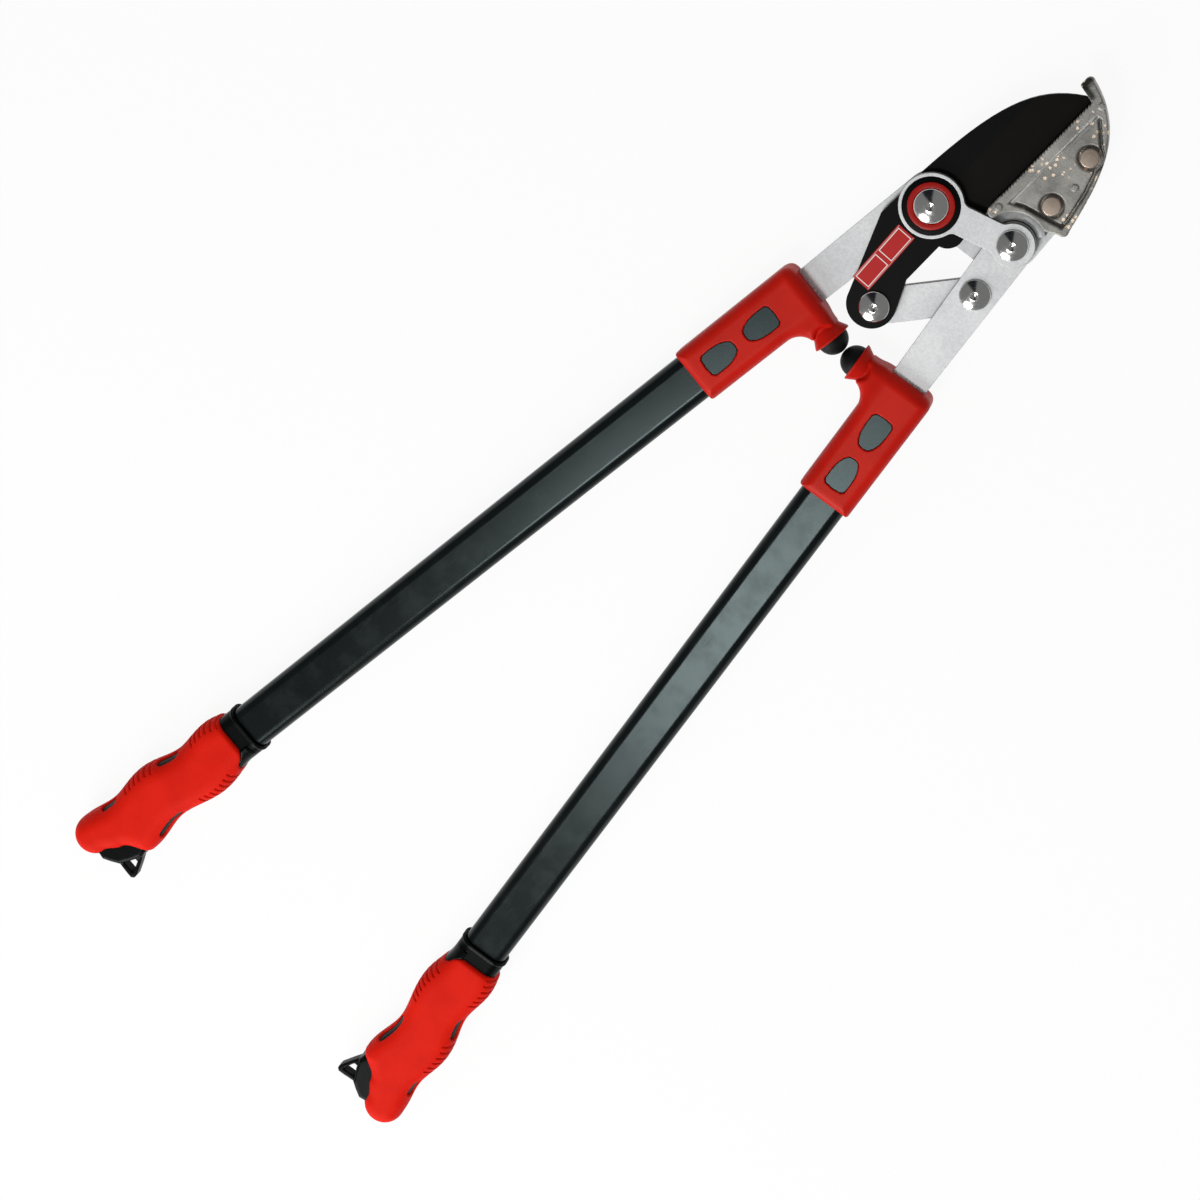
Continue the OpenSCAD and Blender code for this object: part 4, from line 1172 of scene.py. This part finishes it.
def grip_cover():
    """Soft cover: finger waves, rib grooves, side slits and a notch at its inner front corner."""
    rib_half, rib_depth, rib_reach, rib_slant = 0.62, 1.0, 6.5, 0.10

    def field(x, y, z):
        back = GRIP_FRONT - y
        skin, shape = grip_form(x, y, z, 0)
        body = smooth_max(skin, COLLAR_BACK - back, 3.2)
        for side, first, last, count in RIB_GROUPS:
            places = np.linspace(first, last, count) * GRIP_LEN
            near = np.min([np.abs(back - s - rib_slant * np.abs(z)) for s in places], axis=0)
            groove = np.maximum(near - rib_half, -(skin + rib_depth))
            groove = np.maximum(np.maximum(groove, -side * x), -(shape + rib_reach))
            groove = np.maximum(groove, np.abs(z) - 11.5)
            body = smooth_max(body, -groove, 0.45)
        body = smooth_max(body, -window_field(x, back, z, 0), 1.0)
        body = smooth_max(body, -outline(x, y, TONGUE), 1.2)
        tab = np.maximum(outline(x, y, TAB), np.abs(z) - TAB_HALF - 0.1)
        shoulder = np.maximum(outline(x, y, SHOULDER) - 0.1, np.abs(z) - SHOULDER_HALF - 0.1)
        inner = np.minimum(np.minimum(sleeve_field(x, y, z, 0.1), tab), shoulder)
        return smooth_max(body, -inner, 0.3)

    return surface(field, (-26, -638, -15), (26, -481, 15), 0.66)


def grip_core():
    """Hard inner grip: collar with a lip, tongue, sleeve, shoulder and hang tab with its eye."""
    def field(x, y, z):
        back = GRIP_FRONT - y
        collar_ends = np.maximum(COLLAR_FRONT - back, back - COLLAR_BACK - 2)
        collar = smooth_max(rounded_rect(x, z, 33.4, 21.6, 8.4), collar_ends, 0.6)
        lip_ends = np.maximum(COLLAR_FRONT - back, back - COLLAR_FRONT - 2)
        lip = smooth_max(rounded_rect(x, z, 34.6, 22.8, 8.9), lip_ends, 0.8)
        body = smooth_min(collar, lip, 0.4)
        skin, _ = grip_form(x, y, z, 0.35)
        tongue = np.maximum(outline(x, y, TONGUE) + 0.15, 3 - back)
        tongue = smooth_max(tongue, np.maximum(skin, np.abs(z) - 12.6), 0.8)
        slits = smooth_max(window_field(x, back, z, -0.1), skin + 1.1, 0.4)
        body = np.minimum(np.minimum(body, tongue), slits)
        body = np.minimum(body, sleeve_field(x, y, z, 0))
        tab = thick(outline(x, y, TAB), np.abs(z) - TAB_HALF, 1.3)
        shoulder = thick(outline(x, y, SHOULDER), np.abs(z) - SHOULDER_HALF, 3.0)
        body = np.minimum(body, smooth_min(tab, shoulder, 1.0))
        bore = np.maximum(tube_bore(x, z), back - 104.5)
        body = smooth_max(body, -bore, 0.4)
        return smooth_max(body, -outline(x, y, EYE), 0.6)

    return surface(field, (-22.5, -632, -13.4), (33.5, -474.4, 13.4), 0.72)


BAR_LOW = {"left": BAR_BACK, "right": 0}
for side, (place, body) in HANDLES.items():
    for part, mesh, slot, finish, angle, flat in (
        ("socket", socket(BAR_LOW[side]), "red_plastic", RED_PLASTIC, 60, False),
        ("socket_pads", pads(), "slate_plastic", SLATE, 50, True),
        ("bumper", bumper(), "black_rubber", BLACK_RUBBER, 60, False),
        ("tube", tube(), "black_tube", PAINT, 40, True),
        ("grip_core", grip_core(), "black_plastic", BLACK_PLASTIC, 60, False),
        ("grip_cover", grip_cover(), "red_rubber", RED_RUBBER, 60, False),
    ):
        node = f"{side}_{part}"
        piece(node + "_dressed", mesh, place, body, node, finish, angle, flat)

    # Hidden inside the tube, so the solids stay
    for node, slot, finish in (
        (f"{side}_tang_insert", "black_plastic", BLACK_PLASTIC),
        (f"{side}_tang_rivets", "plated_steel", PLATED),
    ):
        held = frame["nodes"][node]
        held.data.materials.clear()
        held.data.materials.append(finish)


# Stage: pale floor, soft lamps, white surroundings

def seen_directly(value):
    """1 for camera, glossy and transmission rays."""
    camera, glossy, through = (
        value.make("LightPath", out=f"Is {kind} Ray") for kind in ("Camera", "Glossy", "Transmission")
    )
    return camera.most(glossy).most(through)


def make_floor():
    reach = 6
    f = Finish("pale_floor", base_color=(0.82, 0.82, 0.82), roughness=0.9)
    tree = f.material.node_tree
    lit = Value(tree, f.shader.outputs[0])
    glow = lit.make("Emission", {}, {"Color": WHITE, "Strength": 1.0})
    mixed = lit.make("MixShader", {}, {0: seen_directly(lit) * 0.92, 1: lit, 2: glow})
    lit.put(tree.nodes["Material Output"].inputs["Surface"], mixed)
    corners = [(-reach, -reach, 0), (reach, -reach, 0), (reach, reach, 0), (-reach, reach, 0)]
    mesh = mesh_of(corners, [(0, 1, 2, 3)])
    mesh.materials.append(f.material)
    floor = bpy.data.objects.new("floor", mesh)
    bpy.context.scene.collection.objects.link(floor)


def make_world():
    """White at the horizon; above it a grey room with a dark corner for bright steel to show."""
    grey, dark, fill = (0.20, 0.20, 0.20), (0.008, 0.009, 0.012), (0.42, 0.42, 0.42)
    world = bpy.data.worlds.new("studio")
    bpy.context.scene.world = world
    world.use_nodes = True
    tree = world.node_tree
    shader = tree.nodes["Background"]
    place = Value(tree).make("TexCoord", out="Generated")
    up = place.dot(UPWARD)
    corner = place.dot((-0.788, -0.616, 0)).ramp(0, 0.06) * place.dot(AHEAD).ramp(0, 0.06)
    wall = (corner * up.ramp(0.22, 0.34)).mix(grey, dark)
    room = up.ramp(0.10, 0.24).mix(WHITE, wall)
    place.put(shader.inputs["Color"], seen_directly(place).mix(fill, room))
    shader.inputs["Strength"].default_value = 1.0


def make_lamp(name, spot, aim, size, power):
    data = bpy.data.lights.new(name, "AREA")
    data.shape, data.size, data.energy = "DISK", size, power
    lamp = bpy.data.objects.new(name, data)
    back = (Vector(spot) - Vector(aim)).normalized()
    lamp.matrix_world = Matrix.Translation(spot) @ back.to_track_quat("Z", "Y").to_matrix().to_4x4()
    bpy.context.scene.collection.objects.link(lamp)


make_floor()
make_world()
make_lamp("overhead", spot=(0.25, -0.65, 1.77), aim=(0.05, 0.03, 0), size=0.52, power=10)
make_lamp("window", spot=(0.45, -1.85, 1.02), aim=(0.0, 0.1, 0), size=1.3, power=34)
bpy.context.scene.view_settings.view_transform = "Standard"
